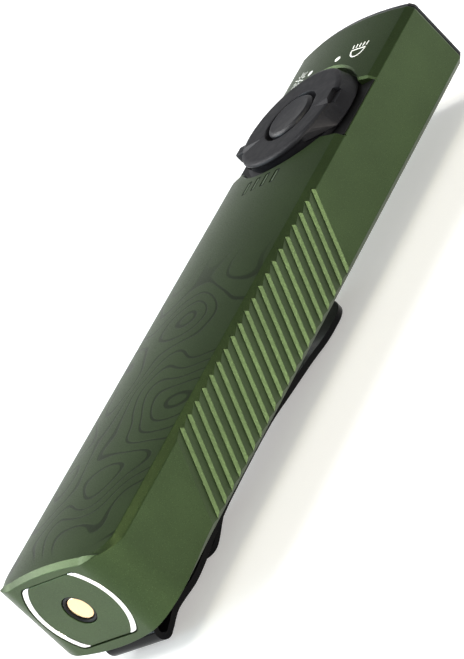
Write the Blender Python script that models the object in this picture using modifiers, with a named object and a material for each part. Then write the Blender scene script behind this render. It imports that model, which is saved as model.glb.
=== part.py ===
"""Flat tactical flashlight: ribbed aluminium shell, rotary selector with push button, spring clip.

The shell lies on its clip side. +Y is the beam, +Z comes out of the button face, +X is to the right.
Sizes are in millimetres from the middle of the tail face, and the builders turn them into metres.
"""

import math

import bmesh
import bpy
from mathutils import Matrix, Vector

MM = 0.001

# ---- driving dimensions, in millimetres ----
LENGTH = 110.0
HALF_WIDTH = 12.5
FRONT_APEX = 7.65
FRONT_RADIUS = 48.0
BACK_APEX = -7.5
BACK_RADIUS = 43.0
FRONT_CHAMFER = 1.0
BACK_CHAMFER = 0.9
TAIL_CORNER = 5.0
TAIL_EDGE = 0.95
TAIL_EDGE_DROP = 0.45
SHELL_END = 109.2
HEAD_EDGE = 0.4
WALL_SIDE = 1.4
BAY_FRONT = 5.5
BAY_BACK = -5.6
FIT = 0.1
GAP = 0.3

# tail contact
TAIL_WALL = 3.5
ISLAND_RADIUS = 8.1
ISLAND_HALF_HEIGHT = 5.96
RING_INNER = 7.0
INSULATOR_RADIUS = 2.5
PIN_RADIUS = 1.8

RING_FACE = 0.15
ISLAND_FACE = 0.3
ISLAND_SEAT = 0.95
ISLAND_BACK = 1.6
CARRIER = ((-10.6, 4.3, -5.1), (10.6, 7.4, 5.0))
MAGNET_OUTER = 5.6
MAGNET_INNER = 3.0
MAGNET_END = 3.2
NECK_RADIUS = 7.2
NECK_HALF_HEIGHT = 4.2
PIN_END = 9.7

# ribs
RIB_COUNT = 20
RIB_PITCH = 2.42
RIB_FIRST = 23.15
RIB_TOP = 5.3
RIB_LEAN = math.radians(30)
RIB_STEEP = 0.8
RIB_SHALLOW = 1.3
RIB_DEPTH = 0.38

# selector and button
KNOB_Y = 87.8
POCKET_RADIUS = 10.95
POCKET_FLOOR = 5.3
POCKET_NOTCH_X = 8.5
POCKET_NOTCH = (81.0, 94.2)
FLOOR_BOTTOM = 3.9
HUB_RADIUS = 5.7
HUB_END = 2.7
KNOB_TOP = 8.7
KNOB_BORE = 4.88
KNOB_RIM = 9.75
KNOB_SKIRT = 10.2
WING_REACH = 10.7
WING_SHIFT = -1.0
WING_HALF_WIDTH = 4.6
WING_END = 7.2
PRONG = ((-11.1, 84.9, 6.7), (-7.8, 86.5, 8.25))
LEFT_NOTCH_TURN = 13.0
STEP = ((8.35, 86.8, 7.9), (12.0, 89.55, 12.0))
NOTCH_START = 5.7
NOTCH_SPREAD = 0.302
NOTCH_FALL = 0.209
WEB_TOP = 6.8
WEB_BOTTOM = 6.0
BUTTON_RADIUS = 4.2
BUTTON_TOP = 8.95
STEM_RADIUS = 1.9
STEM_END = 4.3
SEAL_RADIUS = 7.05
SEAL_WIRE = 0.42
MAGNET_SPOT = 8.75
GROOVE = (3.1, 3.8)
WING_TOP = 7.9
BUTTON_TRAVEL = 0.5

# charge indicator slots
SLOT_PITCH = 2.04
SLOT_COUNT = 4
SLOT_WIDTH = 0.9
SLOT_Y = (73.2, 76.0)

# clip
CLIP_SHEET = 0.9
CLIP_HALF_WIDTH = 5.35
CLIP_SEAT = -7.15
CLIP_TIP = 66.9
CLIP_HINGE = (5.2, -9.85)
FOLD_RADIUS = 1.25
FOLD_CENTRE = (3.4, -9.05)
LEAF = ((5.2, -9.85), (7.0, -9.50), (9.0, -9.60), (12.0, -9.92), (15.0, -9.80), (20.0, -9.20), (26.0, -8.78),
        (40.0, -8.78), (46.0, -9.32), (53.0, -10.00), (58.0, -10.62), (62.0, -10.74), (68.0, -10.70))
TONGUE_HALF_WIDTH = 3.3
TONGUE_TIP = 17.0
TONGUE_ROOT = 38.0
TONGUE_SLOT = 0.6
TONGUE_SHEET = 0.8
TONGUE = ((TONGUE_ROOT, -8.76), (34.0, -8.80), (30.0, -9.05), (26.0, -9.65), (23.6, -10.30), (21.9, -10.90),
          (20.6, -11.27), (19.4, -11.38), (18.3, -11.22), (16.7, -10.70))
SCREW_RADIUS = 0.85
SCREW_HEAD = 1.5
DRIVER_HOLE = 1.9
SCREW_SPOTS = ((-2.9, 11.8), (2.9, 11.8))
LOWEST = 11.78

# inner pieces, as low and high corners along X, Y and Z
CELL = ((-10.2, 12.6, -4.8), (10.2, 69.4, 4.7))
PAD = ((-8.5, 20.0, 4.85), (8.5, 62.0, 5.35))
FLEX = ((-3.0, 11.0, -5.35), (3.0, 78.0, -5.15))
DRIVER = ((-9.6, 71.4, 0.6), (9.6, 96.4, 1.6))
CHARGE_BOARD = ((-9.4, 9.9, -4.6), (9.4, 10.9, 4.6))
SPREADER = ((-9.8, 98.0, -5.2), (9.8, 99.9, 3.5))
LED_BOARD = ((-9.8, 100.05, -5.0), (9.8, 100.85, 5.0))
TAB_X = 6.0
CHIPS = {
    "power_inductor": (-5.0, 80.0, 5.0, 5.0, 2.4),
    "driver_transistor": (5.0, 80.0, 3.4, 4.4, 1.0),
    "controller_chip": (0.0, 88.0, 5.0, 5.0, 0.9),
}
WINDOW = ((-9.6, 107.9, -4.6), (9.6, 108.9, 4.5))
OPTIC_X = -4.3
OPTIC_RADIUS = 4.75
LASER_X = 6.3
LASER_RADIUS = 2.8

ROUND = 40
SMALL_ROUND = 24

COLOURS = {
    "green": ((0.062, 0.097, 0.045), 0.42, 0.85),
    "black_metal": ((0.03, 0.032, 0.036), 0.35, 0.8),
    "knob_black": ((0.028, 0.03, 0.034), 0.45, 0.3),
    "bare": ((0.78, 0.78, 0.76), 0.25, 1.0),
    "gold": ((0.95, 0.72, 0.38), 0.22, 1.0),
    "black_plastic": ((0.02, 0.02, 0.022), 0.5, 0.0),
    "rubber": ((0.03, 0.03, 0.03), 0.8, 0.0),
    "glass": ((0.85, 0.9, 0.92), 0.05, 0.0),
    "board": ((0.02, 0.16, 0.07), 0.5, 0.0),
    "copper": ((0.8, 0.42, 0.26), 0.3, 1.0),
    "brass": ((0.75, 0.56, 0.25), 0.3, 1.0),
    "phosphor": ((0.9, 0.78, 0.25), 0.5, 0.0),
    "cell_wrap": ((0.2, 0.3, 0.42), 0.45, 0.1),
    "steel": ((0.6, 0.6, 0.62), 0.3, 1.0),
}

parts = None
cutters = None


# ---- scene set-up ----
def clear_scene():
    for thing in list(bpy.data.objects):
        bpy.data.objects.remove(thing, do_unlink=True)


def new_collection(name):
    made = bpy.data.collections.new(name)
    bpy.context.scene.collection.children.link(made)
    return made


def new_frame(name, origin, parent=None):
    """An empty that its pieces hang from; origin is in millimetres from the tail face."""
    empty = bpy.data.objects.new(name, None)
    empty.empty_display_size = 5 * MM
    parts.objects.link(empty)
    shift = Vector(origin) * MM
    if parent:
        empty.parent = parent
        shift -= Vector(parent["origin"]) * MM
    empty.location = shift
    empty["origin"] = origin
    return empty


def material(key):
    found = bpy.data.materials.get(key)
    if found:
        return found
    colour, roughness, metallic = COLOURS[key]
    made = bpy.data.materials.new(key)
    made.use_nodes = True
    shader = made.node_tree.nodes["Principled BSDF"]
    shader.inputs["Base Color"].default_value = (*colour, 1.0)
    shader.inputs["Roughness"].default_value = roughness
    shader.inputs["Metallic"].default_value = metallic
    made.diffuse_color = (*colour, 1.0)
    return made


def link(name, mesh, frame, key=None):
    """Hangs a mesh, still in tail-face coordinates, on its frame; without a colour it is a cutter."""
    mesh.transform(Matrix.Translation(-Vector(frame["origin"]) * MM))
    made = bpy.data.objects.new(name, mesh)
    made.parent = frame
    if key:
        mesh.materials.append(material(key))
        parts.objects.link(made)
    else:
        made.hide_render = True
        made.display_type = "WIRE"
        cutters.objects.link(made)
    return made


def piece(name, bm, frame, key=None):
    bmesh.ops.recalc_face_normals(bm, faces=bm.faces)
    mesh = bpy.data.meshes.new(name)
    bm.to_mesh(mesh)
    bm.free()
    mesh.set_sharp_from_angle(angle=math.radians(35))
    mesh.shade_smooth()
    return link(name, mesh, frame, key)


# ---- shape builders ----
AXES = {"X": Vector((1, 0, 0)), "Y": Vector((0, 1, 0)), "Z": Vector((0, 0, 1))}
OUTLINE_TURN = {
    "X": Matrix(((0, 0, 1, 0), (1, 0, 0, 0), (0, 1, 0, 0), (0, 0, 0, 1))),
    "Y": Matrix.Rotation(math.radians(90), 4, "X"),
    "Z": Matrix.Identity(4),
}


def add_box(bm, low, high):
    low = Vector(low) * MM
    high = Vector(high) * MM
    size = Matrix.Diagonal((*(high - low), 1))
    bmesh.ops.create_cube(bm, size=1, matrix=Matrix.Translation((low + high) / 2) @ size)


def add_rod(bm, radius, start, end, centre=(0, 0), axis="Z", segments=SMALL_ROUND):
    """A cylinder from start to end along axis; centre holds the other two coordinates in X, Y, Z order."""
    middle = (start + end) / 2
    spots = {"Z": (*centre, middle), "Y": (centre[0], middle, centre[1]), "X": (middle, *centre)}
    turn = {"Z": Matrix(), "Y": Matrix.Rotation(math.radians(90), 4, "X"),
            "X": Matrix.Rotation(math.radians(90), 4, "Y")}
    place = Matrix.Translation(Vector(spots[axis]) * MM) @ turn[axis]
    bmesh.ops.create_cone(bm, cap_ends=True, segments=segments, radius1=radius * MM,
                          radius2=radius * MM, depth=(end - start) * MM, matrix=place)


def add_ball(bm, radius, centre):
    bmesh.ops.create_uvsphere(bm, u_segments=12, v_segments=8, radius=radius * MM,
                              matrix=Matrix.Translation(Vector(centre) * MM))


def prism(name, outlines, low, high, axis, frame, key=None):
    """Closed outlines, the later ones as holes, filled and extruded from low to high along axis."""
    data = bpy.data.curves.new(name, "CURVE")
    data.dimensions = "2D"
    data.fill_mode = "BOTH"
    data.extrude = (high - low) / 2 * MM
    for outline in outlines:
        spline = data.splines.new("POLY")
        spline.points.add(len(outline) - 1)
        for point, (a, b) in zip(spline.points, outline):
            point.co = (a * MM, b * MM, 0, 1)
        spline.use_cyclic_u = True
    guide = bpy.data.objects.new(name + "_outline", data)
    cutters.objects.link(guide)
    seen = guide.evaluated_get(bpy.context.evaluated_depsgraph_get())
    mesh = bpy.data.meshes.new_from_object(seen)
    bpy.data.objects.remove(guide)
    bm = bmesh.new()
    bm.from_mesh(mesh)
    bmesh.ops.remove_doubles(bm, verts=bm.verts, dist=1e-6)
    bm.transform(OUTLINE_TURN[axis])
    bm.transform(Matrix.Translation(AXES[axis] * (low + high) / 2 * MM))
    bm.normal_update()
    return piece(name, bm, frame, key)


def turned(name, profile, frame, key=None, centre=(0, 0), axis="Z", closed=False, steps=ROUND):
    """Screws a profile of (radius, height) points, outer side running down, round the axis."""
    bm = bmesh.new()
    corners = [bm.verts.new((r * MM, 0, h * MM)) for r, h in profile]
    for first, second in zip(corners, corners[1:]):
        bm.edges.new((first, second))
    if closed:
        bm.edges.new((corners[-1], corners[0]))
    mesh = bpy.data.meshes.new(name)
    bm.to_mesh(mesh)
    bm.free()
    made = link(name, mesh, frame, key)
    mesh.transform(Matrix.Translation(Vector(frame["origin"]) * MM))
    spot = (centre[0], 0, centre[1]) if axis == "Y" else (*centre, 0)
    made.location = (Vector(spot) - Vector(frame["origin"])) * MM
    made.rotation_euler.x = math.radians(-90 if axis == "Y" else 0)
    spin = made.modifiers.new("turn", "SCREW")
    spin.axis = "Z"
    spin.angle = math.tau
    spin.steps = steps
    spin.render_steps = steps
    spin.use_merge_vertices = True
    spin.merge_threshold = 1e-6
    spin.use_normal_calculate = False
    spin.use_smooth_shade = True
    return made


def hollow_rod(outer, inner, start, end):
    """The profile of a tube, for a Screw: outer side down, inner side up."""
    return [(outer, end), (outer, start), (inner, start), (inner, end)]


def boolean(target, tool, operation="DIFFERENCE"):
    step = target.modifiers.new(tool.name, "BOOLEAN")
    step.object = tool
    step.operation = operation
    step.solver = "EXACT"


def bevel(target, width, segments=1):
    edge = target.modifiers.new("edge", "BEVEL")
    edge.width = width * MM
    edge.segments = segments
    edge.limit_method = "ANGLE"
    edge.angle_limit = math.radians(40)


# ---- outlines ----
def arc(centre, radius, start, end, steps):
    """Points on an arc; start and end are in degrees from the outline's first axis."""
    angles = [math.radians(start + (end - start) * i / steps) for i in range(steps + 1)]
    return [(centre[0] + radius * math.cos(a), centre[1] + radius * math.sin(a)) for a in angles]


def round_box(low, high, radius, steps=4):
    (x0, z0), (x1, z1) = low, high
    corners = (((x1 - radius, z1 - radius), 0), ((x0 + radius, z1 - radius), 90),
               ((x0 + radius, z0 + radius), 180), ((x1 - radius, z0 + radius), 270))
    outline = []
    for centre, start in corners:
        outline += arc(centre, radius, start, start + 90, steps)
    return outline


def flattened_circle(radius, half_height, steps=12):
    """A circle whose top and bottom are cut flat."""
    edge = math.degrees(math.asin(half_height / radius))
    right = arc((0, 0), radius, -edge, edge, steps)
    left = arc((0, 0), radius, 180 - edge, 180 + edge, steps)
    return right + left


def strip(line, thickness):
    """The outline of a bent sheet of even thickness along a centre line."""
    outer, inner = [], []
    for i, here in enumerate(line):
        before = Vector(line[max(i - 1, 0)])
        after = Vector(line[min(i + 1, len(line) - 1)])
        along = (after - before).normalized()
        side = Vector((-along.y, along.x)) * thickness / 2
        outer.append(tuple(Vector(here) + side))
        inner.append(tuple(Vector(here) - side))
    return outer + inner[::-1]


# ---- body shell ----
def crown(x, apex, radius):
    """Height of the domed front (positive apex) or back (negative apex) at x."""
    drop = radius - math.sqrt(radius * radius - x * x)
    return apex - math.copysign(drop, apex)


def shell_section(width, back_chamfer, inset, steps=14):
    """The shell's outline at one station: half width, back chamfer and inset of all its faces."""
    width -= inset
    top = width - FRONT_CHAMFER
    front = [(x, crown(x, FRONT_APEX, FRONT_RADIUS) - inset)
             for x in (top - 2 * top * i / steps for i in range(steps + 1))]
    low = width - back_chamfer
    back = [(x, crown(x, BACK_APEX, BACK_RADIUS) + inset)
            for x in (-low + 2 * low * i / steps for i in range(steps + 1))]
    side_top = front[0][1] - FRONT_CHAMFER
    side_low = back[0][1] + back_chamfer
    return front + [(-width, side_top), (-width, side_low)] + back + [(width, side_low), (width, side_top)]


def shell_stations():
    """(y, half width, back chamfer, inset) from the tail face to the head end."""
    flat = HALF_WIDTH - TAIL_CORNER
    sharp = 0.05
    yield 0.0, flat + TAIL_EDGE_DROP, sharp, TAIL_EDGE_DROP
    corner_steps = 7
    first = math.acos(1 - TAIL_EDGE / TAIL_CORNER)
    for i in range(corner_steps + 1):
        turn = first + (math.pi / 2 - first) * i / corner_steps
        yield TAIL_CORNER * (1 - math.cos(turn)), flat + TAIL_CORNER * math.sin(turn), sharp, 0.0
    yield 12.0, HALF_WIDTH, sharp, 0.0
    yield 16.0, HALF_WIDTH, BACK_CHAMFER, 0.0
    yield SHELL_END - HEAD_EDGE, HALF_WIDTH, BACK_CHAMFER, 0.0
    yield SHELL_END, HALF_WIDTH, BACK_CHAMFER, HEAD_EDGE / 2


def shell_loft(name, frame, key):
    bm = bmesh.new()
    rings = []
    for y, width, back_chamfer, inset in shell_stations():
        outline = shell_section(width, back_chamfer, inset)
        rings.append([bm.verts.new((x * MM, y * MM, z * MM)) for x, z in outline])
    for near, far in zip(rings, rings[1:]):
        for i in range(len(near)):
            j = (i + 1) % len(near)
            bm.faces.new((near[i], near[j], far[j], far[i]))
    bm.faces.new(rings[0])
    bm.faces.new(rings[-1])
    return piece(name, bm, frame, key)


def rib_cutter(frame):
    """Sawtooth grooves that lean to the tail as they go down, on both sides."""
    bm = bmesh.new()
    reach = 9.0
    over = 0.4
    lift = over / RIB_DEPTH
    for side in (-1, 1):
        for i in range(RIB_COUNT):
            top_y = RIB_FIRST + RIB_PITCH * i
            section = ((over, -RIB_SHALLOW * (1 + lift)), (-RIB_DEPTH, 0), (over, RIB_STEEP * (1 + lift)))
            ends = []
            for z in (reach, -reach):
                y = top_y - (RIB_TOP - z) * math.tan(RIB_LEAN)
                ends.append([bm.verts.new((side * (HALF_WIDTH + out) * MM, (y + along) * MM, z * MM))
                             for out, along in section])
            bm.faces.new(ends[0])
            bm.faces.new(ends[1])
            for j in range(3):
                k = (j + 1) % 3
                bm.faces.new((ends[0][j], ends[0][k], ends[1][k], ends[1][j]))
    return piece("rib_cutter", bm, frame)


def bay_cutters(frame):
    """The inner bay: full height round the cell and the optics, lower under the selector floor."""
    side = HALF_WIDTH - WALL_SIDE
    rear, fore = POCKET_NOTCH[0] - 4.6, POCKET_NOTCH[1] + 4.8
    stretches = (
        ("cell_bay", TAIL_WALL, rear, BAY_FRONT),
        ("selector_bay", rear - 1, fore + 1, FLOOR_BOTTOM),
        ("optic_bay", fore, SHELL_END + 2, BAY_FRONT),
    )
    made = []
    for name, start, end, top in stretches:
        outline = round_box((-side, BAY_BACK), (side, top), 1.0, 1)
        made.append(prism(name, [outline], start, end, "Y", frame))
    return made


def pocket_cutters(frame):
    bm = bmesh.new()
    add_rod(bm, POCKET_RADIUS, POCKET_FLOOR, 10, (0, KNOB_Y), segments=64)
    well = piece("pocket_well", bm, frame)
    bm = bmesh.new()
    for side in (-1, 1):
        inner, outer = sorted((side * POCKET_NOTCH_X, side * (HALF_WIDTH + 1)))
        add_box(bm, (inner, POCKET_NOTCH[0], POCKET_FLOOR + 0.01), (outer, POCKET_NOTCH[1], 10))
    notches = piece("pocket_notches", bm, frame)
    bm = bmesh.new()
    add_rod(bm, HUB_RADIUS + FIT, FLOOR_BOTTOM - 1, POCKET_FLOOR + 1, (0, KNOB_Y), segments=ROUND)
    hub_hole = piece("hub_hole", bm, frame)
    return well, notches, hub_hole


def slot_spots():
    return [(i - (SLOT_COUNT - 1) / 2) * SLOT_PITCH for i in range(SLOT_COUNT)]


def slot_cutter(frame):
    bm = bmesh.new()
    half = SLOT_WIDTH / 2
    for x in slot_spots():
        add_box(bm, (x - half, SLOT_Y[0], 3), (x + half, SLOT_Y[1], 9))
    return piece("slot_cutter", bm, frame)


def clip_seat_cutter(frame):
    bm = bmesh.new()
    add_box(bm, (-CLIP_HALF_WIDTH - FIT, 1.6, -9), (CLIP_HALF_WIDTH + FIT, 18.2, CLIP_SEAT))
    return piece("clip_seat", bm, frame)


def clip_screw_cutter(frame):
    bm = bmesh.new()
    for x, y in SCREW_SPOTS:
        add_rod(bm, SCREW_RADIUS + FIT, -9, -5, (x, y))
    return piece("clip_screw_holes", bm, frame)


def body_shell(frame):
    shell = shell_loft("body_shell", frame, "green")
    for tool in (*bay_cutters(frame), *pocket_cutters(frame)):
        boolean(shell, tool)
    hole = flattened_circle(ISLAND_RADIUS + GAP, ISLAND_HALF_HEIGHT + GAP)
    boolean(shell, prism("island_hole", [hole], -1, TAIL_WALL + 1, "Y", frame))
    boolean(shell, slot_cutter(frame))
    boolean(shell, clip_seat_cutter(frame))
    boolean(shell, clip_screw_cutter(frame))
    boolean(shell, rib_cutter(frame))


# ---- tail contact ----
def tail_contact(frame):
    outer = flattened_circle(ISLAND_RADIUS, ISLAND_HALF_HEIGHT)
    bore = arc((0, 0), INSULATOR_RADIUS + FIT, 360, 0, SMALL_ROUND)[:-1]
    ring = prism("contact_ring", [outer, bore], RING_FACE, ISLAND_BACK, "Y", frame, "bare")
    bm = bmesh.new()
    add_rod(bm, RING_INNER, -1, ISLAND_SEAT, axis="Y", segments=ROUND)
    boolean(ring, piece("island_well", bm, frame))
    plate = flattened_circle(RING_INNER - FIT, ISLAND_HALF_HEIGHT)
    prism("tail_island", [plate, bore], ISLAND_FACE, ISLAND_SEAT - FIT, "Y", frame, "green")

    flange = (CARRIER[0][1], CARRIER[1][1])
    bm = bmesh.new()
    add_box(bm, *CARRIER)
    carrier = piece("contact_carrier", bm, frame, "black_plastic")
    bevel(carrier, 0.8)
    boolean(carrier, prism("carrier_nose", [outer], ISLAND_BACK + FIT, TAIL_WALL, "Y", frame), "UNION")
    neck = flattened_circle(NECK_RADIUS, NECK_HALF_HEIGHT)
    boolean(carrier, prism("carrier_neck", [neck], TAIL_WALL - FIT, flange[0] + FIT, "Y", frame), "UNION")
    bm = bmesh.new()
    add_rod(bm, INSULATOR_RADIUS + FIT, 0, flange[1] + 1, axis="Y")
    boolean(carrier, piece("carrier_bore", bm, frame))
    groove = hollow_rod(MAGNET_OUTER + FIT, MAGNET_INNER - FIT, 1.0, MAGNET_END + FIT)
    boolean(carrier, turned("magnet_groove", groove, frame, axis="Y", closed=True))
    magnet = hollow_rod(MAGNET_OUTER, MAGNET_INNER, ISLAND_BACK + GAP, MAGNET_END)
    turned("tail_magnet", magnet, frame, "steel", axis="Y", closed=True)

    outline = round_box((CARRIER[0][0], CARRIER[0][2]), (CARRIER[1][0], CARRIER[1][2]), 0.8)
    hole = flattened_circle(NECK_RADIUS + FIT, NECK_HALF_HEIGHT + FIT)
    prism("tail_seal", [outline, hole[::-1]], TAIL_WALL + FIT, flange[0] - FIT, "Y", frame, "rubber")
    sleeve = hollow_rod(INSULATOR_RADIUS, PIN_RADIUS + FIT, 0.25, flange[1] - 0.2)
    turned("contact_insulator", sleeve, frame, "black_plastic", axis="Y", closed=True, steps=SMALL_ROUND)
    pin = [(0, PIN_END), (0.9, PIN_END), (0.9, PIN_END - 1.4), (PIN_RADIUS, PIN_END - 1.6),
           (PIN_RADIUS, 0.75), (PIN_RADIUS - 0.25, 0.5), (0, 0.5)]
    turned("contact_pin", pin, frame, "gold", axis="Y", steps=SMALL_ROUND)


# ---- cell and electronics ----
def power(frame):
    bm = bmesh.new()
    add_box(bm, *CELL)
    bevel(piece("battery_cell", bm, frame, "cell_wrap"), 1.6, 3)
    bm = bmesh.new()
    add_box(bm, *PAD)
    piece("battery_pad", bm, frame, "rubber")
    start, end = CELL[1][1] + FIT, DRIVER[0][1] + 1.7
    low, high, sheet = -0.6, DRIVER[0][2] - FIT, 0.2
    bent = [(start, low), (end, low), (end, high), (end - sheet, high),
            (end - sheet, low + sheet), (start, low + sheet)]
    for name, x in (("battery_tab_minus", -TAB_X), ("battery_tab_plus", TAB_X)):
        prism(name, [bent], x - 1.5, x + 1.5, "X", frame, "steel")
    bm = bmesh.new()
    add_box(bm, *FLEX)
    piece("flex_cable", bm, frame, "copper")
    bm = bmesh.new()
    add_box(bm, *CHARGE_BOARD)
    piece("charge_board", bm, frame, "board")


def driver(frame):
    bm = bmesh.new()
    add_box(bm, *DRIVER)
    piece("driver_board", bm, frame, "board")
    top, bottom = DRIVER[1][2] + FIT, DRIVER[0][2] - FIT
    for name, (x, y, long, wide, high) in CHIPS.items():
        bm = bmesh.new()
        add_box(bm, (x - long / 2, y - wide / 2, bottom - high), (x + long / 2, y + wide / 2, bottom))
        piece(name, bm, frame, "black_plastic")
    half = 2.6
    bm = bmesh.new()
    add_box(bm, (-half, KNOB_Y - half, top), (half, KNOB_Y + half, top + 1.4))
    switch = piece("tactile_switch", bm, frame, "steel")
    bm = bmesh.new()
    add_rod(bm, 1.1, top + 1.2, STEM_END - BUTTON_TRAVEL - FIT, (0, KNOB_Y))
    boolean(switch, piece("switch_plunger", bm, frame), "UNION")
    bm = bmesh.new()
    add_box(bm, (MAGNET_SPOT - 1.5, KNOB_Y - 1.4, top), (MAGNET_SPOT + 0.5, KNOB_Y + 1.4, top + 0.9))
    piece("rotation_sensor", bm, frame, "black_plastic")
    indicator(frame, top)


def indicator(frame, board_top):
    """Four lamps on one strip, and one light guide with four windows that stand in the shell's slots."""
    middle = sum(SLOT_Y) / 2
    edge = slot_spots()[-1] + 0.9
    bm = bmesh.new()
    add_box(bm, (-edge, middle - 1.0, board_top), (edge, middle + 1.0, board_top + 0.3))
    strip_piece = piece("indicator_leds", bm, frame, "phosphor")
    bm = bmesh.new()
    for x in slot_spots():
        add_box(bm, (x - 0.4, middle - 0.7, board_top + 0.2), (x + 0.4, middle + 0.7, board_top + 0.8))
    boolean(strip_piece, piece("lamp_blocks", bm, frame), "UNION")
    guide_low, guide_high = board_top + 1.0, BAY_FRONT - 1.0
    bm = bmesh.new()
    add_box(bm, (-edge, SLOT_Y[0] + FIT, guide_low), (edge, SLOT_Y[1] - FIT, guide_high))
    guide = piece("indicator_windows", bm, frame, "black_plastic")
    bm = bmesh.new()
    reach = SLOT_WIDTH / 2 - FIT
    for x in slot_spots():
        front = crown(x, FRONT_APEX, FRONT_RADIUS) - 0.35
        low, high = (x - reach, SLOT_Y[0] + 2 * FIT, guide_high - 0.5), (x + reach, SLOT_Y[1] - 2 * FIT, front)
        add_box(bm, low, high)
    boolean(guide, piece("window_blocks", bm, frame), "UNION")


# ---- head ----
def head(frame):
    bm = bmesh.new()
    add_box(bm, *SPREADER)
    piece("heat_spreader", bm, frame, "copper")
    bm = bmesh.new()
    add_box(bm, *LED_BOARD)
    piece("led_board", bm, frame, "board")
    base = LED_BOARD[1][1] + FIT
    bm = bmesh.new()
    add_box(bm, (OPTIC_X - 1.75, base, -1.75), (OPTIC_X + 1.75, base + 0.7, 1.75))
    lamp = piece("main_led", bm, frame, "phosphor")
    dome = [(0, base + 1.5), (0.7, base + 1.35), (1.2, base + 1.0), (1.35, base + 0.5), (0, base + 0.5)]
    boolean(lamp, turned("led_dome", dome, frame, centre=(OPTIC_X, 0), axis="Y", steps=SMALL_ROUND), "UNION")

    front = WINDOW[0][1] - 0.8
    lens = [(0, front), (OPTIC_RADIUS, front), (OPTIC_RADIUS, front - 0.5), (3.9, base + 2.8),
            (2.3, base + 0.9), (1.9, base + 0.9), (1.7, base + 2.4), (0, base + 2.7)]
    turned("main_optic", lens, frame, "glass", centre=(OPTIC_X, 0), axis="Y")

    back = base + 0.1
    bm = bmesh.new()
    add_box(bm, (-9.9, back, -5.1), (9.9, front - 0.1, 5.1))
    holder = piece("optic_holder", bm, frame, "black_plastic")
    bevel(holder, 0.8)
    bm = bmesh.new()
    add_rod(bm, OPTIC_RADIUS + FIT, base - 1, front + 1, (OPTIC_X, 0), "Y", ROUND)
    boolean(holder, piece("optic_bore", bm, frame))
    bm = bmesh.new()
    add_rod(bm, LASER_RADIUS + FIT, base - 1, front + 1, (LASER_X, 0), "Y", ROUND)
    boolean(holder, piece("laser_bore", bm, frame))

    wall, floor = 0.6, 1.2
    inner = LASER_RADIUS - wall
    barrel = [(LASER_RADIUS, front), (LASER_RADIUS, back), (0.8, back), (0.8, back + floor),
              (inner, back + floor), (inner, front)]
    spot = (LASER_X, 0)
    turned("laser_barrel", barrel, frame, "brass", centre=spot, axis="Y", closed=True, steps=SMALL_ROUND)
    start = back + floor + FIT
    diode = [(0, start + 1.2), (inner - FIT, start + 1.2), (inner - FIT, start), (0, start)]
    turned("laser_diode", diode, frame, "gold", centre=spot, axis="Y", steps=SMALL_ROUND)
    thick = 1.2
    glass = [(0, front - 0.2), (inner - FIT, front - 0.5), (inner - FIT, front - thick), (0, front - thick)]
    turned("laser_lens", glass, frame, "glass", centre=spot, axis="Y", steps=SMALL_ROUND)


def window_outline(grow=0.0):
    (x0, _, z0), (x1, _, z1) = WINDOW
    return round_box((x0 - grow, z0 - grow), (x1 + grow, z1 + grow), 2.2 + grow)


def bezel(frame):
    start, end = WINDOW[0][1], WINDOW[1][1]
    prism("front_window", [window_outline()], start, end, "Y", frame, "glass")
    prism("lens_gasket", [window_outline(), window_outline(-0.8)[::-1]], start - 0.6, start - FIT, "Y",
          frame, "rubber")
    rim = shell_section(HALF_WIDTH, BACK_CHAMFER, 0.25)
    cover = prism("front_bezel", [rim], SHELL_END + GAP, LENGTH, "Y", frame, "black_metal")
    side = HALF_WIDTH - WALL_SIDE - GAP
    plug = round_box((-side, BAY_BACK + GAP), (side, BAY_FRONT - GAP), 1.2)
    boolean(cover, prism("bezel_plug", [plug], start - 0.5, SHELL_END + 0.5, "Y", frame), "UNION")
    boolean(cover, prism("window_seat", [window_outline(FIT)], start - 2, end + FIT, "Y", frame))
    boolean(cover, prism("window_mouth", [window_outline(-0.6)], start, LENGTH + 1, "Y", frame))


# ---- selector and button ----
def v_groove(side, frame):
    """A notch in a wing that widens and deepens outwards."""
    bm = bmesh.new()
    lip = KNOB_TOP + 0.3
    outer = WING_REACH + 0.6
    middle = KNOB_Y + WING_SHIFT
    start = NOTCH_START - (lip - KNOB_TOP) / NOTCH_FALL
    spread = (outer - start) * NOTCH_SPREAD
    tip = bm.verts.new((side * start * MM, middle * MM, lip * MM))
    low = bm.verts.new((side * outer * MM, middle * MM, (lip - (outer - start) * NOTCH_FALL) * MM))
    left = bm.verts.new((side * outer * MM, (middle - spread) * MM, lip * MM))
    right = bm.verts.new((side * outer * MM, (middle + spread) * MM, lip * MM))
    for corners in ((tip, left, low), (tip, low, right), (tip, right, left), (left, right, low)):
        bm.faces.new(corners)
    return piece("wing_notch", bm, frame)


def wings(skirt, frame):
    """Two shoulders that slope down from the ring to the shell's edges, and a prong on the left one."""
    low = skirt + 0.4
    slope = [(7.5, WING_TOP), (STEP[0][0], WING_TOP), (WING_REACH - 0.3, WING_END + 0.2),
             (WING_REACH, WING_END), (WING_REACH, low), (7.5, low)]
    made = turned("wing_blocks", slope, frame, centre=(0, KNOB_Y), closed=True, steps=64)
    middle = KNOB_Y + WING_SHIFT
    bm = bmesh.new()
    for side in (-1, 1):
        near, far = sorted((side * 4, side * (WING_REACH + 1)))
        add_box(bm, (near, middle - WING_HALF_WIDTH, 0), (far, middle + WING_HALF_WIDTH, 12))
    boolean(made, piece("wing_spans", bm, frame), "INTERSECT")
    bm = bmesh.new()
    add_box(bm, *PRONG)
    prong = piece("wing_prong", bm, frame)
    bevel(prong, 0.25)
    boolean(made, prong, "UNION")
    return made


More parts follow.
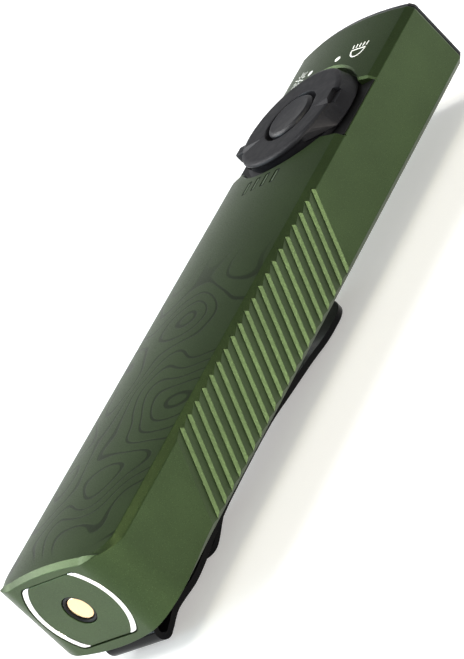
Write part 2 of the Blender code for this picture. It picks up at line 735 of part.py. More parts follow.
def selector(frame):
    skirt = POCKET_FLOOR + GAP
    rim = arc((KNOB_RIM - 0.4, KNOB_TOP - 1.05), 0.4, 70, -90, 5)
    profile = [(KNOB_BORE, KNOB_TOP), (8.4, KNOB_TOP), *rim, (KNOB_RIM - 0.4, 6.5), (KNOB_SKIRT, 6.3),
               (KNOB_SKIRT, skirt), (HUB_RADIUS, skirt), (HUB_RADIUS, GROOVE[1]),
               (HUB_RADIUS - 0.45, GROOVE[1]), (HUB_RADIUS - 0.45, GROOVE[0]), (HUB_RADIUS, GROOVE[0]),
               (HUB_RADIUS, HUB_END), (KNOB_BORE, HUB_END), (KNOB_BORE, WEB_BOTTOM),
               (STEM_RADIUS + FIT, WEB_BOTTOM), (STEM_RADIUS + FIT, WEB_TOP), (KNOB_BORE, WEB_TOP)]
    ring = turned("selector_ring", profile, frame, "knob_black", centre=(0, KNOB_Y), closed=True, steps=64)
    boolean(ring, wings(skirt, frame), "UNION")
    bm = bmesh.new()
    add_box(bm, *STEP)
    left = v_groove(-1, frame)
    left.rotation_euler.z = math.radians(LEFT_NOTCH_TURN)
    for tool in (piece("wing_step", bm, frame), left, v_groove(1, frame)):
        boolean(ring, tool)
    groove = hollow_rod(SEAL_RADIUS + 0.55, SEAL_RADIUS - 0.55, skirt - 1, skirt + 0.8)
    boolean(ring, turned("seal_groove", groove, frame, centre=(0, KNOB_Y), closed=True))
    bm = bmesh.new()
    add_rod(bm, 1.1, skirt - 1, skirt + 1.3, (MAGNET_SPOT, KNOB_Y))
    add_rod(bm, 0.85, skirt - 1, skirt + 1.3, (0, KNOB_Y + MAGNET_SPOT))
    add_rod(bm, 0.85, skirt - 1, skirt + 1.3, (0, KNOB_Y - MAGNET_SPOT))
    boolean(ring, piece("underside_bores", bm, frame))

    bm = bmesh.new()
    add_rod(bm, 1.0, skirt + FIT, skirt + 1.2, (MAGNET_SPOT, KNOB_Y))
    piece("selector_magnet", bm, frame, "steel")
    for name, side in (("detent_ball_rear", -1), ("detent_ball_front", 1)):
        bm = bmesh.new()
        add_ball(bm, 0.75, (0, KNOB_Y + side * MAGNET_SPOT, POCKET_FLOOR + 0.8))
        piece(name, bm, frame, "steel")
    seal = arc((SEAL_RADIUS, skirt + 0.22), SEAL_WIRE, 360, 0, 8)[:-1]
    turned("selector_seal", seal, frame, "rubber", centre=(0, KNOB_Y), closed=True, steps=32)
    clip = hollow_rod(7.2, HUB_RADIUS - 0.35, GROOVE[0] + FIT, GROOVE[1] - FIT)
    turned("selector_retainer", clip, frame, "steel", centre=(0, KNOB_Y), closed=True, steps=32)


def button(frame):
    under = BUTTON_TOP - 1.35
    profile = [(0, BUTTON_TOP), (BUTTON_RADIUS - 0.45, BUTTON_TOP), (BUTTON_RADIUS, BUTTON_TOP - 0.4),
               (BUTTON_RADIUS, under), (STEM_RADIUS, under), (STEM_RADIUS, STEM_END), (0, STEM_END)]
    turned("button_cap", profile, frame, "black_metal", centre=(0, KNOB_Y))
    clip = hollow_rod(2.9, STEM_RADIUS + 0.05, WEB_BOTTOM - 0.6, WEB_BOTTOM - FIT)
    turned("button_retainer", clip, frame, "steel", centre=(0, KNOB_Y), closed=True, steps=SMALL_ROUND)

    wire = 0.14
    wide, narrow = 3.9, 2.6
    turns, points_a_turn = 2, 16
    low, high = WEB_TOP + wire + 0.06, under - wire - 0.06
    data = bpy.data.curves.new("button_spring", "CURVE")
    data.dimensions = "3D"
    data.bevel_depth = wire * MM
    data.bevel_resolution = 2
    data.use_fill_caps = True
    spline = data.splines.new("POLY")
    count = turns * points_a_turn
    spline.points.add(count)
    for i, point in enumerate(spline.points):
        turn = math.tau * i / points_a_turn
        height = low + (high - low) * i / count
        radius = wide + (narrow - wide) * i / count
        point.co = (radius * math.cos(turn) * MM, radius * math.sin(turn) * MM, height * MM, 1)
    data.materials.append(material("steel"))
    spring = bpy.data.objects.new("button_spring", data)
    spring.parent = frame
    parts.objects.link(spring)


# ---- clip ----
def leaf_height(y):
    """Middle of the outer leaf: close to the back over its spring, standing off at the tip."""
    for i in range(len(LEAF) - 1):
        (y0, z0), (y1, z1) = LEAF[i:i + 2]
        if y <= y1:
            break
    span = y1 - y0
    share = (y - y0) / span
    slopes = []
    for j in (i, i + 1):
        (ya, za), (yb, zb) = LEAF[max(j - 1, 0)], LEAF[min(j + 1, len(LEAF) - 1)]
        slopes.append((zb - za) / (yb - ya) * span)
    near, far = (1 + 2 * share) * (1 - share) ** 2, share * share * (3 - 2 * share)
    lean_in, lean_out = share * (1 - share) ** 2, share * share * (share - 1)
    return near * z0 + far * z1 + lean_in * slopes[0] + lean_out * slopes[1]


def clip_line(start, end, steps=48):
    stations = [start + (end - start) * i / steps for i in range(steps + 1)]
    return [(y, leaf_height(y)) for y in stations]


def rounded_tongue(half_width, root, tip, steps=20):
    """A plan outline in X, Y: square at the root, a half circle at the tip."""
    way = math.copysign(1, tip - root)
    middle = tip - way * half_width
    turn = [(half_width * math.cos(a), middle + way * half_width * math.sin(a))
            for a in (math.pi * i / steps for i in range(steps + 1))]
    return [(half_width, root), *turn, (-half_width, root)]


def clip(body, arm_frame, tongue_frame):
    half = CLIP_SHEET / 2
    seat = CLIP_SEAT - FIT - half
    fold = arc(FOLD_CENTRE, FOLD_RADIUS, 100, 290, 14)
    line = [(18.0, seat), (FOLD_CENTRE[0] + 0.6, seat), *fold, (CLIP_HINGE[0] - FIT / 2, CLIP_HINGE[1] - 0.05)]
    bent = strip(line, CLIP_SHEET)
    base = prism("clip_base", [bent], -CLIP_HALF_WIDTH, CLIP_HALF_WIDTH, "X", body, "black_metal")
    bm = bmesh.new()
    for spot in SCREW_SPOTS:
        add_rod(bm, SCREW_RADIUS + GAP, seat - 1, seat + 1, spot)
    boolean(base, piece("clip_base_holes", bm, body))
    top = seat - half - FIT
    for name, spot in zip(("clip_screw_left", "clip_screw_right"), SCREW_SPOTS):
        end = BAY_BACK - FIT
        screw = [(0, end), (SCREW_RADIUS, end), (SCREW_RADIUS, top), (SCREW_HEAD, top), (SCREW_HEAD, top - 0.4),
                 (0, top - 0.4)]
        turned(name, screw, body, "steel", centre=spot, steps=SMALL_ROUND)

    start = CLIP_HINGE[0] + FIT / 2
    leaf = strip(clip_line(start, CLIP_TIP + 0.5), CLIP_SHEET)
    arm = prism("clip_arm", [leaf], -CLIP_HALF_WIDTH - 1, CLIP_HALF_WIDTH + 1, "X", arm_frame, "black_metal")
    plan = prism("arm_plan", [rounded_tongue(CLIP_HALF_WIDTH, start - 1, CLIP_TIP)], -20, 0, "Z", arm_frame)
    boolean(arm, plan, "INTERSECT")
    window = rounded_tongue(TONGUE_HALF_WIDTH + TONGUE_SLOT, TONGUE_ROOT + 0.3, TONGUE_TIP - TONGUE_SLOT)
    boolean(arm, prism("tongue_window", [window], -20, 0, "Z", arm_frame))
    bm = bmesh.new()
    for spot in SCREW_SPOTS:
        add_rod(bm, DRIVER_HOLE, -20, 0, spot)
    boolean(arm, piece("driver_access", bm, arm_frame))

    tongue = prism("clip_tongue", [strip(TONGUE, TONGUE_SHEET)], -6, 6, "X", tongue_frame, "black_metal")
    plan = prism("tongue_plan", [rounded_tongue(TONGUE_HALF_WIDTH, TONGUE_ROOT + 2, TONGUE_TIP)], -20, 0, "Z",
                 tongue_frame)
    boolean(tongue, plan, "INTERSECT")


def main():
    global parts, cutters
    clear_scene()
    parts = new_collection("flashlight")
    cutters = new_collection("cutters")
    body = new_frame("flashlight_frame", (0, 0, 0))
    body.location = (0, -LENGTH / 2 * MM, LOWEST * MM)
    knob_axis = new_frame("selector_axis", (0, KNOB_Y, 0), body)
    button_axis = new_frame("button_axis", (0, KNOB_Y, 0), body)
    clip_axis = new_frame("clip_axis", (0, *CLIP_HINGE), body)
    tongue_axis = new_frame("tongue_axis", (0, *TONGUE[0]), clip_axis)
    body_shell(body)
    tail_contact(body)
    power(body)
    driver(body)
    head(body)
    bezel(body)
    selector(knob_axis)
    button(button_axis)
    clip(body, clip_axis, tongue_axis)


main()
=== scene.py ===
"""Looks of the flat tactical flashlight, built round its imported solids.

Sizes are in millimetres from the middle of the tail face, with the same axes as the row:
X to the right, Y along the beam, Z out of the button face. The builders turn them into metres.
"""

import math

import bmesh
import bpy
from mathutils import Matrix, Vector


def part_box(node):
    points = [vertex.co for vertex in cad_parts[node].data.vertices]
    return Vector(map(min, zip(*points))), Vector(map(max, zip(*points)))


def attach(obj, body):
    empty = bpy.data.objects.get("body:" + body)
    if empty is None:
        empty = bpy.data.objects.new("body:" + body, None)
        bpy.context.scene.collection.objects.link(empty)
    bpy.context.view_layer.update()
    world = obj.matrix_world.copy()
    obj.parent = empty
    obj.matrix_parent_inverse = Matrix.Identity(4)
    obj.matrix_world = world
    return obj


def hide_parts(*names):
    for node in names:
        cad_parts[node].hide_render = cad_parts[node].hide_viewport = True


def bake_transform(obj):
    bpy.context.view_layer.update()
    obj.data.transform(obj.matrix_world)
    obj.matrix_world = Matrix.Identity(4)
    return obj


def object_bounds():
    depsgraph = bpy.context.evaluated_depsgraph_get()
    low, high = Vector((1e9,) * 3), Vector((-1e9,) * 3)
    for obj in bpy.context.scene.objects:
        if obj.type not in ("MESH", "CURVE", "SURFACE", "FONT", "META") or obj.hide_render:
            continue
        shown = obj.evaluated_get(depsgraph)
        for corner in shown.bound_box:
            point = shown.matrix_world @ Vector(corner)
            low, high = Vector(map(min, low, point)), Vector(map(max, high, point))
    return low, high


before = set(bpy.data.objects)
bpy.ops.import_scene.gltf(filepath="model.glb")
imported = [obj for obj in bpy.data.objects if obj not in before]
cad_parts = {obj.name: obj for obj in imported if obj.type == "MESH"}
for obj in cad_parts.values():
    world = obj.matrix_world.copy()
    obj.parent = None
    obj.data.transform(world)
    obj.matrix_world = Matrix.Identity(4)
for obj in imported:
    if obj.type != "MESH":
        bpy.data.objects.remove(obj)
cad_low, cad_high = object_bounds()

MM = 0.001

# ---- places read from the frame ----
shell_low, shell_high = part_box("body_shell")
pin_low, pin_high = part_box("contact_pin")
cap_low, cap_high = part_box("button_cap")
ORIGIN = Vector(((pin_low.x + pin_high.x) / 2, shell_low.y, (pin_low.z + pin_high.z) / 2))


def local(point):
    """A row-frame point in millimetres from the middle of the tail face."""
    return (Vector(point) - ORIGIN) / MM


LENGTH = local(cad_high).y
HALF_WIDTH = local(shell_high).x
SHELL_END = local(shell_high).y
FRONT_APEX = local(shell_high).z
KNOB_Y = local((cap_low + cap_high) / 2).y

# ---- shell ----
FRONT_RADIUS = 48.0
BACK_APEX = -7.5
BACK_RADIUS = 43.0
FRONT_CHAMFER = 1.0
BACK_CHAMFER = 0.9
TAIL_CORNER = 5.0
TAIL_EDGE_DROP = 0.45
HEAD_EDGE = 0.4
WALL_SIDE = 1.4
BAY_FRONT = 5.5
BAY_BACK = -5.6
TAIL_WALL = 3.5
GAP = 0.12
ISLAND_RADIUS = 8.1
ISLAND_HALF_HEIGHT = 5.9
ISLAND_CORNER = 1.5
ISLAND_GAP = 0.2
RING_INNER = 7.25
RING_FACE = 0.06
ISLAND_FACE = 0.1
ISLAND_SEAT = 0.95
ISLAND_BACK = 1.6
INSULATOR_RADIUS = 2.45
INSULATOR_END = 7.2
PIN_RADIUS = 1.95
PIN_END = 9.7

RIB_COUNT = 20
RIB_PITCH = 2.42
RIB_FIRST = 23.15
RIB_TOP = 5.3
RIB_LEAN = math.radians(30)
RIB_STEEP = 0.5
RIB_SHALLOW = 1.7
RIB_DEPTH = 0.36
CREASE = (0.07, 0.14)

POCKET_RADIUS = 10.95
POCKET_FLOOR = 5.3
POCKET_NOTCH_X = 8.5
POCKET_NOTCH = (81.0, 93.1)
FLOOR_BOTTOM = 3.9
HUB_RADIUS = 5.8
# inner edge of the black mat of painted shade on the pocket floor
SHADE_MAT_INNER = 9.6

SLOT_SPOTS = (-3.06, -1.02, 1.02, 3.06)
SLOT_WIDTH = 1.0
SLOT_GAP = 0.3
SLOT_Y = (73.2, 76.0)

# ---- selector and button ----
KNOB_TOP = 8.7
KNOB_BORE = 4.88
KNOB_RIM = 9.75
KNOB_SKIRT = 10.2
HUB_SKIN = 5.7
HUB_END = 2.7
WEB_BORE = 2.0
WEB_LOW = 6.0
WEB_HIGH = 6.8
WING_REACH = 10.7
WING_SHIFT = -1.0
# arcs round the knob's axis: radius, height, first and last angle in degrees
FLARE = ((9.0, 8.66, -50, 66), (9.55, 8.5, -52, 64), (9.74, 8.1, -52, 62), (9.74, 7.4, -50, 60),
         (10.6, 6.3, -23, 44), (10.7, 5.95, -23, 44), (10.6, 5.8, -23, 44), (8.0, 5.8, -46, 60))
# lowest and highest corners of the prong and of the step
PRONG = ((-11.1, 84.6, 6.7), (-7.8, 86.6, 8.35))
LEFT_NOTCH_TURN = 18.0
STEP = ((8.35, 86.8, 7.9), (12.0, 89.55, 12.0))
NOTCH_START = 5.7
NOTCH_SPREAD = 0.302
NOTCH_FALL = 0.209
BUTTON_RADIUS = 4.2
BUTTON_TOP = local(cap_high).z

# ---- clip ----
CLIP_SHEET = 0.9
CLIP_HALF_WIDTH = 5.35
CLIP_BASE_Z = -7.7
CLIP_BASE_END = 18.0
CLIP_TIP = local(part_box("clip_arm")[1]).y
CLIP_HINGE = (5.2, -9.85)
FOLD_RADIUS = 1.25
FOLD_CENTRE = (3.4, -9.05)
# middle lines of the two leaves, as (y, z)
LEAF = ((5.2, -9.85), (7.0, -9.50), (9.0, -9.60), (12.0, -9.92), (15.0, -9.80), (20.0, -9.20), (26.0, -8.78),
        (40.0, -8.78), (46.0, -9.32), (53.0, -10.00), (58.0, -10.62), (62.0, -10.74), (68.0, -10.70))
TONGUE_HALF_WIDTH = 3.3
TONGUE_ROOT = 38.0
TONGUE_TIP = 17.0
TONGUE_SLOT = 0.6
TONGUE_SHEET = 0.8
TONGUE = ((TONGUE_ROOT, -8.76), (34.0, -8.80), (30.0, -9.05), (26.0, -9.65), (23.6, -10.30), (21.9, -10.90),
          (20.6, -11.27), (19.4, -11.38), (18.3, -11.22), (16.7, -10.70))
SCREW_SPOTS = ((-2.9, 11.8), (2.9, 11.8))
DRIVER_HOLE = 1.9

# ---- head ----
WINDOW = ((-9.6, 107.9, -4.6), (9.6, 108.9, 4.5))
WINDOW_CORNER = 2.2
OPTIC_X = -4.3
OPTIC_RADIUS = 4.75
LED_BOARD_FACE = 100.95
OPTIC_FRONT = 107.1
LASER_X = 6.3
LASER_RADIUS = 2.8

# ---- printed marks ----
MARK_LIFT = 0.012
MARK_DEPTH = 0.05
INDEX_DOTS = ((2.4, 100.3), (-4.0, 100.5))
LAMP_SIGN = Vector((6.3, 101.0))
BURST_SIGN = Vector((-7.1, 100.8))

# ---- view, in metres and degrees ----
CAMERA_PLACE = (0.309662, -0.259807, 0.154221)
CAMERA_TURN = (63.2265, 42.4157, 31.6039)
CAMERA_LENS = 168.2
CAMERA_SENSOR = 36.0
CAMERA_SHIFT = (0.003338, -0.002580)
FLOOR_HALF = 6.0

collection = bpy.data.collections.new("looks")
bpy.context.scene.collection.children.link(collection)


# =============================== mesh builders ===============================
def new_object(name, bm, sharp=30):
    """A mesh object from millimetre coordinates."""
    bmesh.ops.recalc_face_normals(bm, faces=bm.faces)
    bm.transform(Matrix.Translation(ORIGIN) @ Matrix.Scale(MM, 4))
    mesh = bpy.data.meshes.new(name)
    bm.to_mesh(mesh)
    bm.free()
    finish_shading(mesh, sharp)
    made = bpy.data.objects.new(name, mesh)
    collection.objects.link(made)
    return made


def finish_shading(mesh, sharp=30):
    mesh.shade_smooth()
    mesh.set_sharp_from_angle(angle=math.radians(sharp))


def loft(bm, rings):
    """Faces between rings of equally many corners, closed at both ends."""
    for near, far in zip(rings, rings[1:]):
        for i in range(len(near)):
            j = (i + 1) % len(near)
            bm.faces.new((near[i], near[j], far[j], far[i]))
    bm.faces.new(rings[0])
    bm.faces.new(rings[-1])


def arc(centre, radius, start, end, steps):
    """Points of an arc; start and end are in degrees."""
    angles = [math.radians(start + (end - start) * i / steps) for i in range(steps + 1)]
    return [(centre[0] + radius * math.cos(a), centre[1] + radius * math.sin(a)) for a in angles]


def round_box(low, high, radius, steps=8):
    (x0, z0), (x1, z1) = low, high
    corners = (((x1 - radius, z1 - radius), 0), ((x0 + radius, z1 - radius), 90),
               ((x0 + radius, z0 + radius), 180), ((x1 - radius, z0 + radius), 270))
    outline = []
    for centre, start in corners:
        outline += arc(centre, radius, start, start + 90, steps)
    return outline


def flattened_circle(radius, half_height, corner, steps=32):
    """A circle cut flat above and below, with rounded corners between arc and flat."""
    middle = half_height - corner
    x = math.sqrt((radius - corner) ** 2 - middle ** 2)
    edge = math.degrees(math.atan2(middle, x))
    right = arc((x, -middle), corner, -90, -edge, 8) + arc((0, 0), radius, -edge, edge, steps)[1:-1]
    right += arc((x, middle), corner, edge, 90, 8)
    return right + [(-a, -b) for a, b in right]


AXIS_TURNS = {
    "X": Matrix(((0, 0, 1, 0), (1, 0, 0, 0), (0, 1, 0, 0), (0, 0, 0, 1))),
    "Y": Matrix.Rotation(math.radians(90), 4, "X"),
    "Z": Matrix.Identity(4),
}
AXES = {"X": Vector((1, 0, 0)), "Y": Vector((0, 1, 0)), "Z": Vector((0, 0, 1))}


def prism(name, outlines, low, high, axis, sharp=30):
    """Closed outlines, the later ones as holes, filled and extruded from low to high along axis."""
    data = bpy.data.curves.new(name, "CURVE")
    data.dimensions = "2D"
    data.fill_mode = "BOTH"
    data.extrude = (high - low) / 2
    for outline in outlines:
        spline = data.splines.new("POLY")
        spline.points.add(len(outline) - 1)
        for point, (a, b) in zip(spline.points, outline):
            point.co = (a, b, 0, 1)
        spline.use_cyclic_u = True
    guide = bpy.data.objects.new(name + "_outline", data)
    collection.objects.link(guide)
    seen = guide.evaluated_get(bpy.context.evaluated_depsgraph_get())
    mesh = bpy.data.meshes.new_from_object(seen)
    bpy.data.objects.remove(guide)
    bm = bmesh.new()
    bm.from_mesh(mesh)
    bpy.data.meshes.remove(mesh)
    bmesh.ops.remove_doubles(bm, verts=bm.verts, dist=1e-4)
    bmesh.ops.dissolve_limit(bm, angle_limit=math.radians(0.5), verts=bm.verts, edges=bm.edges)
    bm.transform(AXIS_TURNS[axis])
    bm.transform(Matrix.Translation(AXES[axis] * (low + high) / 2))
    return new_object(name, bm, sharp)


def lathe(name, profile, centre=(0, 0), axis="Z", steps=96, closed=False, sharp=35):
    """Turns a profile of (radius, height) points round the axis through centre."""
    bm = bmesh.new()
    rings = []
    for radius, height in profile:
        if radius < 1e-6:
            rings.append([bm.verts.new((0, 0, height))])
            continue
        turn = arc((0, 0), radius, 0, 360, steps)[:-1]
        rings.append([bm.verts.new((x, y, height)) for x, y in turn])
    pairs = list(zip(rings, rings[1:]))
    if closed:
        pairs.append((rings[-1], rings[0]))
    for near, far in pairs:
        for i in range(steps):
            j = (i + 1) % steps
            corners = [near[i % len(near)], near[j % len(near)], far[j % len(far)], far[i % len(far)]]
            unique = list(dict.fromkeys(corners))
            if len(unique) > 2:
                bm.faces.new(unique)
    if axis == "Y":
        bm.transform(Matrix.Rotation(math.radians(-90), 4, "X"))
        bm.transform(Matrix.Translation((centre[0], 0, centre[1])))
    else:
        bm.transform(Matrix.Translation((*centre, 0)))
    return new_object(name, bm, sharp)


def box(name, low, high):
    bm = bmesh.new()
    low, high = Vector(low), Vector(high)
    size = Matrix.Diagonal((*(high - low), 1))
    bmesh.ops.create_cube(bm, size=1, matrix=Matrix.Translation((low + high) / 2) @ size)
    return new_object(name, bm)


def rod(name, radius, start, end, centre=(0, 0), axis="Z", steps=96):
    return lathe(name, [(0, start), (radius, start), (radius, end), (0, end)], centre, axis, steps)


def cut(target, tool, operation="DIFFERENCE"):
    step = target.modifiers.new("cut", "BOOLEAN")
    step.object = tool
    step.operation = operation
    step.solver = "EXACT"
    bake(target)
    bpy.data.objects.remove(tool)


def bake(target, sharp=30):
    """Applies the modifiers."""
    seen = target.evaluated_get(bpy.context.evaluated_depsgraph_get())
    mesh = bpy.data.meshes.new_from_object(seen)
    target.modifiers.clear()
    old = target.data
    target.data = mesh
    bpy.data.meshes.remove(old)
    if sharp:
        finish_shading(mesh, sharp)


def round_edges(target, width, segments=2, limit=30, sharp=30):
    """A small real radius on the sharp edges, with the flat faces shaded flat."""
    finish_shading(target.data, sharp)
    edge = target.modifiers.new("edge", "BEVEL")
    edge.width = width * MM
    edge.segments = segments
    edge.limit_method = "ANGLE"
    edge.angle_limit = math.radians(limit)
    level = target.modifiers.new("level", "WEIGHTED_NORMAL")
    level.weight = 80
    level.keep_sharp = True
    bake(target, None)


# ================================= the shell =================================
def crown(x, apex, radius):
    """Height of the domed front (positive apex) or back (negative apex) at x."""
    drop = radius - math.sqrt(radius * radius - x * x)
    return apex - math.copysign(drop, apex)


def front_crown(x):
    return crown(x, FRONT_APEX, FRONT_RADIUS)


def plan_width(y, corner):
    """Half width at y of a plan outline whose tail corners have this radius about fixed centres."""
    flat = HALF_WIDTH - TAIL_CORNER
    along = max(0.0, TAIL_CORNER - y)
    return flat + math.sqrt(max(0.0, corner * corner - along * along))


def edge_drop(x, y):
    """Depth of the front's chamfer at its outer edge: shallow along the tail, 45 degrees along the sides."""
    across = max(0.0, x - (HALF_WIDTH - TAIL_CORNER))
    along = max(0.0, TAIL_CORNER - y)
    turn = math.atan2(across, along) / (math.pi / 2)
    return TAIL_EDGE_DROP + (FRONT_CHAMFER - TAIL_EDGE_DROP) * turn ** 2


def front_height(x, y, top):
    """Height of the front at one point, where the crown ends at top and the chamfer follows the outline."""
    flat = HALF_WIDTH - TAIL_CORNER
    inside = TAIL_CORNER - math.hypot(max(0.0, x - flat), max(0.0, TAIL_CORNER - y))
    share = max(0.0, 1 - inside / FRONT_CHAMFER)
    return front_crown(min(x, top)) - edge_drop(x, y) * share


def shell_section(y, back_chamfer, inset, steps=36, bevel_steps=4):
    """The shell's outline at one station, with its long edges rounded."""
    width = plan_width(y, TAIL_CORNER) - inset
    top = plan_width(y, TAIL_CORNER - FRONT_CHAMFER) - inset
    across = [top + (width - top) * i / bevel_steps for i in range(bevel_steps, 0, -1)]
    across += [top - 2 * top * i / steps for i in range(steps + 1)]
    across += [-x for x in across[bevel_steps - 1::-1]]
    front = [(x, front_height(abs(x), y, top) - inset) for x in across]
    low = width - back_chamfer
    back = [(x, crown(x, BACK_APEX, BACK_RADIUS) + inset)
            for x in (-low + 2 * low * i / steps for i in range(steps + 1))]
    side_low = back[0][1] + back_chamfer
    last = len(front) - 1
    back_end = last + 2 + steps
    corners = {0, bevel_steps, last - bevel_steps, last, last + 1, last + 2, back_end, back_end + 1}
    outline = front + [(-width, side_low)] + back + [(width, side_low)]
    return ease(outline, corners, 0.16)


def ease(outline, corners, reach, steps=3):
    """Rounds the named corners, always with the same number of points."""
    result = []
    count = len(outline)
    for i, point in enumerate(outline):
        if i not in corners:
            result.append(point)
            continue
        here = Vector(point)
        before = Vector(outline[i - 1]) - here
        after = Vector(outline[(i + 1) % count]) - here
        first = here + before.normalized() * min(reach, before.length * 0.4)
        last = here + after.normalized() * min(reach, after.length * 0.4)
        for j in range(steps + 1):
            t = j / steps
            result.append(tuple(first * (1 - t) ** 2 + here * 2 * t * (1 - t) + last * t * t))
    return result


def shell_stations():
    """(y, back chamfer, inset) from the tail face to the head end."""
    sharp = 0.05
    for y, inset in ((0.0, 0.05), (0.015, 0.018)):
        yield y, sharp, inset
    first, bend = math.acos(1 - 0.05 / TAIL_CORNER), math.acos(1 - FRONT_CHAMFER / TAIL_CORNER)
    for start, end, count in ((first, bend, 8), (bend, math.pi / 2, 18)):
        for i in range(count):
            yield TAIL_CORNER * (1 - math.cos(start + (end - start) * i / count)), sharp, 0.0
    for i in range(9):
        share = i / 8
        blend = share * share * (3 - 2 * share)
        yield TAIL_CORNER + 0.05 + 11.0 * share, sharp + (BACK_CHAMFER - sharp) * blend, 0.0
    yield SHELL_END - HEAD_EDGE, BACK_CHAMFER, 0.0
    yield SHELL_END - 0.12, BACK_CHAMFER, HEAD_EDGE * 0.22
    yield SHELL_END, BACK_CHAMFER, HEAD_EDGE / 2


def shell_loft():
    bm = bmesh.new()
    rings = []
    for y, back_chamfer, inset in shell_stations():
        outline = shell_section(y, back_chamfer, inset)
        rings.append([bm.verts.new((x, y, z)) for x, z in outline])
    loft(bm, rings)
    return new_object("shell_skin", bm, 14)


def rib_cutter():
    """Sawtooth grooves that lean to the tail as they go down, on both sides."""
    bm = bmesh.new()
    reach = 9.0
    over = 0.4
    lift = over / RIB_DEPTH
    for side in (-1, 1):
        for i in range(RIB_COUNT):
            top_y = RIB_FIRST + RIB_PITCH * i
            half, deep = CREASE
            section = ((over, -RIB_SHALLOW * (1 + lift)), (-RIB_DEPTH, -half), (-RIB_DEPTH - deep, -half / 2),
                       (-RIB_DEPTH - deep, half / 2), (-RIB_DEPTH, half), (over, RIB_STEEP * (1 + lift)))
            ends = []
            for z in (reach, -reach):
                y = top_y - (RIB_TOP - z) * math.tan(RIB_LEAN)
                corners = [(side * (HALF_WIDTH + out), y + along, z) for out, along in section]
                ends.append([bm.verts.new(corner) for corner in corners])
            loft(bm, ends)
    return new_object("rib_cutter", bm)


def edge_cutter(path, width):
    """A wedge along an edge; path holds (point on the surface, horizontal direction into the metal)."""
    bm = bmesh.new()
    more = 0.1
    rings = []
    for spot, into in path:
        spot, into, up = Vector(spot), Vector((*into, 0)), Vector((0, 0, 1))
        corners = (spot + into * (width + more) + up * more, spot - up * (width + more) - into * more,
                   spot - into * 0.3 + up * 0.5)
        rings.append([bm.verts.new(corner) for corner in corners])
    loft(bm, rings)
    return new_object("edge_cutter", bm)


def surface(x, y):
    """A point of the front: the crown, or the chamfer beside it."""
    top = HALF_WIDTH - FRONT_CHAMFER
    return x, y, front_crown(min(abs(x), top)) - max(0.0, abs(x) - top)


def chamfer_pocket(shell):
    """A turned chamfer round the selector's pocket and along the two openings in the sides."""
    for across, width in ((POCKET_NOTCH[1] - KNOB_Y, 0.32), (POCKET_NOTCH[0] - KNOB_Y, 0.2)):
        way = math.copysign(1, across)
        first = math.degrees(math.asin(abs(across) / POCKET_RADIUS))
        turned = []
        for x, y in arc((0, 0), 1, first - 3, 183 - first, 72):
            spot = surface(POCKET_RADIUS * x, KNOB_Y + way * POCKET_RADIUS * y)
            turned.append((spot, (x, way * y)))
        cut(shell, edge_cutter(turned, width))
        for side in (-1, 1):
            inner = POCKET_RADIUS * math.cos(math.radians(first)) - 0.1
            stations = (inner, HALF_WIDTH - FRONT_CHAMFER, HALF_WIDTH + 0.3)
            cut(shell, edge_cutter([(surface(side * x, KNOB_Y + across), (0, way)) for x in stations], width))


def slot_outline(x, gap, corner):
    """An indicator slot's outline, drawn in by a gap."""
    half = SLOT_WIDTH / 2 - gap
    return round_box((x - half, SLOT_Y[0] + gap), (x + half, SLOT_Y[1] - gap), corner, 4)


def make_shell():
    """The shell with its bay, pocket, slots, clip seat and ribs."""
    shell = shell_loft()
    side = HALF_WIDTH - WALL_SIDE
    rear, fore = POCKET_NOTCH[0] - 4.6, POCKET_NOTCH[1] + 4.8
    stretches = ((TAIL_WALL, rear, BAY_FRONT), (rear - 1, fore + 1, FLOOR_BOTTOM),
                 (fore, SHELL_END + 2, BAY_FRONT))
    for start, end, top in stretches:
        cut(shell, prism("bay", [round_box((-side, BAY_BACK), (side, top), 1.0, 4)], start, end, "Y"))
    sizes = (ISLAND_RADIUS, ISLAND_HALF_HEIGHT, ISLAND_CORNER)
    hole = flattened_circle(*(size + ISLAND_GAP for size in sizes))
    cut(shell, prism("island_hole", [hole], -1, TAIL_WALL + 1, "Y"))
    cut(shell, rod("pocket_well", POCKET_RADIUS, POCKET_FLOOR, 10, (0, KNOB_Y), steps=160))
    for sign in (-1, 1):
        near, far = sorted((sign * POCKET_NOTCH_X, sign * (HALF_WIDTH + 1)))
        outline = round_box((near, POCKET_NOTCH[0]), (far, POCKET_NOTCH[1]), 0.4, 4)
        cut(shell, prism("pocket_notch", [outline], POCKET_FLOOR + 0.01, 10, "Z"))
    cut(shell, rod("hub_hole", HUB_RADIUS, FLOOR_BOTTOM - 1, POCKET_FLOOR + 1, (0, KNOB_Y)))
    chamfer_pocket(shell)
    for x in SLOT_SPOTS:
        cut(shell, prism("slot", [slot_outline(x, 0.0, 0.2)], 3, 9, "Z"))
    seat = round_box((-CLIP_HALF_WIDTH - 0.1, 1.6), (CLIP_HALF_WIDTH + 0.1, 18.2), 0.5, 4)
    cut(shell, prism("clip_seat", [seat], -9, CLIP_BASE_Z + 0.55, "Z"))
    for spot in SCREW_SPOTS:
        cut(shell, rod("screw_hole", 0.95, -9, -5, spot, steps=32))
    cut(shell, rib_cutter())
    round_edges(shell, 0.07, 2, 18, 9)
    return shell


def make_guides():
    """The light guide: four blades that stand in the slots, just below the front."""
    (x0, y0, z0), (x1, y1, z1) = (local(corner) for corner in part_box("indicator_windows"))
    guide = box("charge_windows", (x0, y0, z0), (x1, y1, z0 + 0.6))
    for x in SLOT_SPOTS:
        top = front_crown(x) - 0.02
        cut(guide, prism("blade", [slot_outline(x, SLOT_GAP, 0.15)], z0 + 0.3, top, "Z"), "UNION")
    round_edges(guide, 0.05, 2)
    return guide


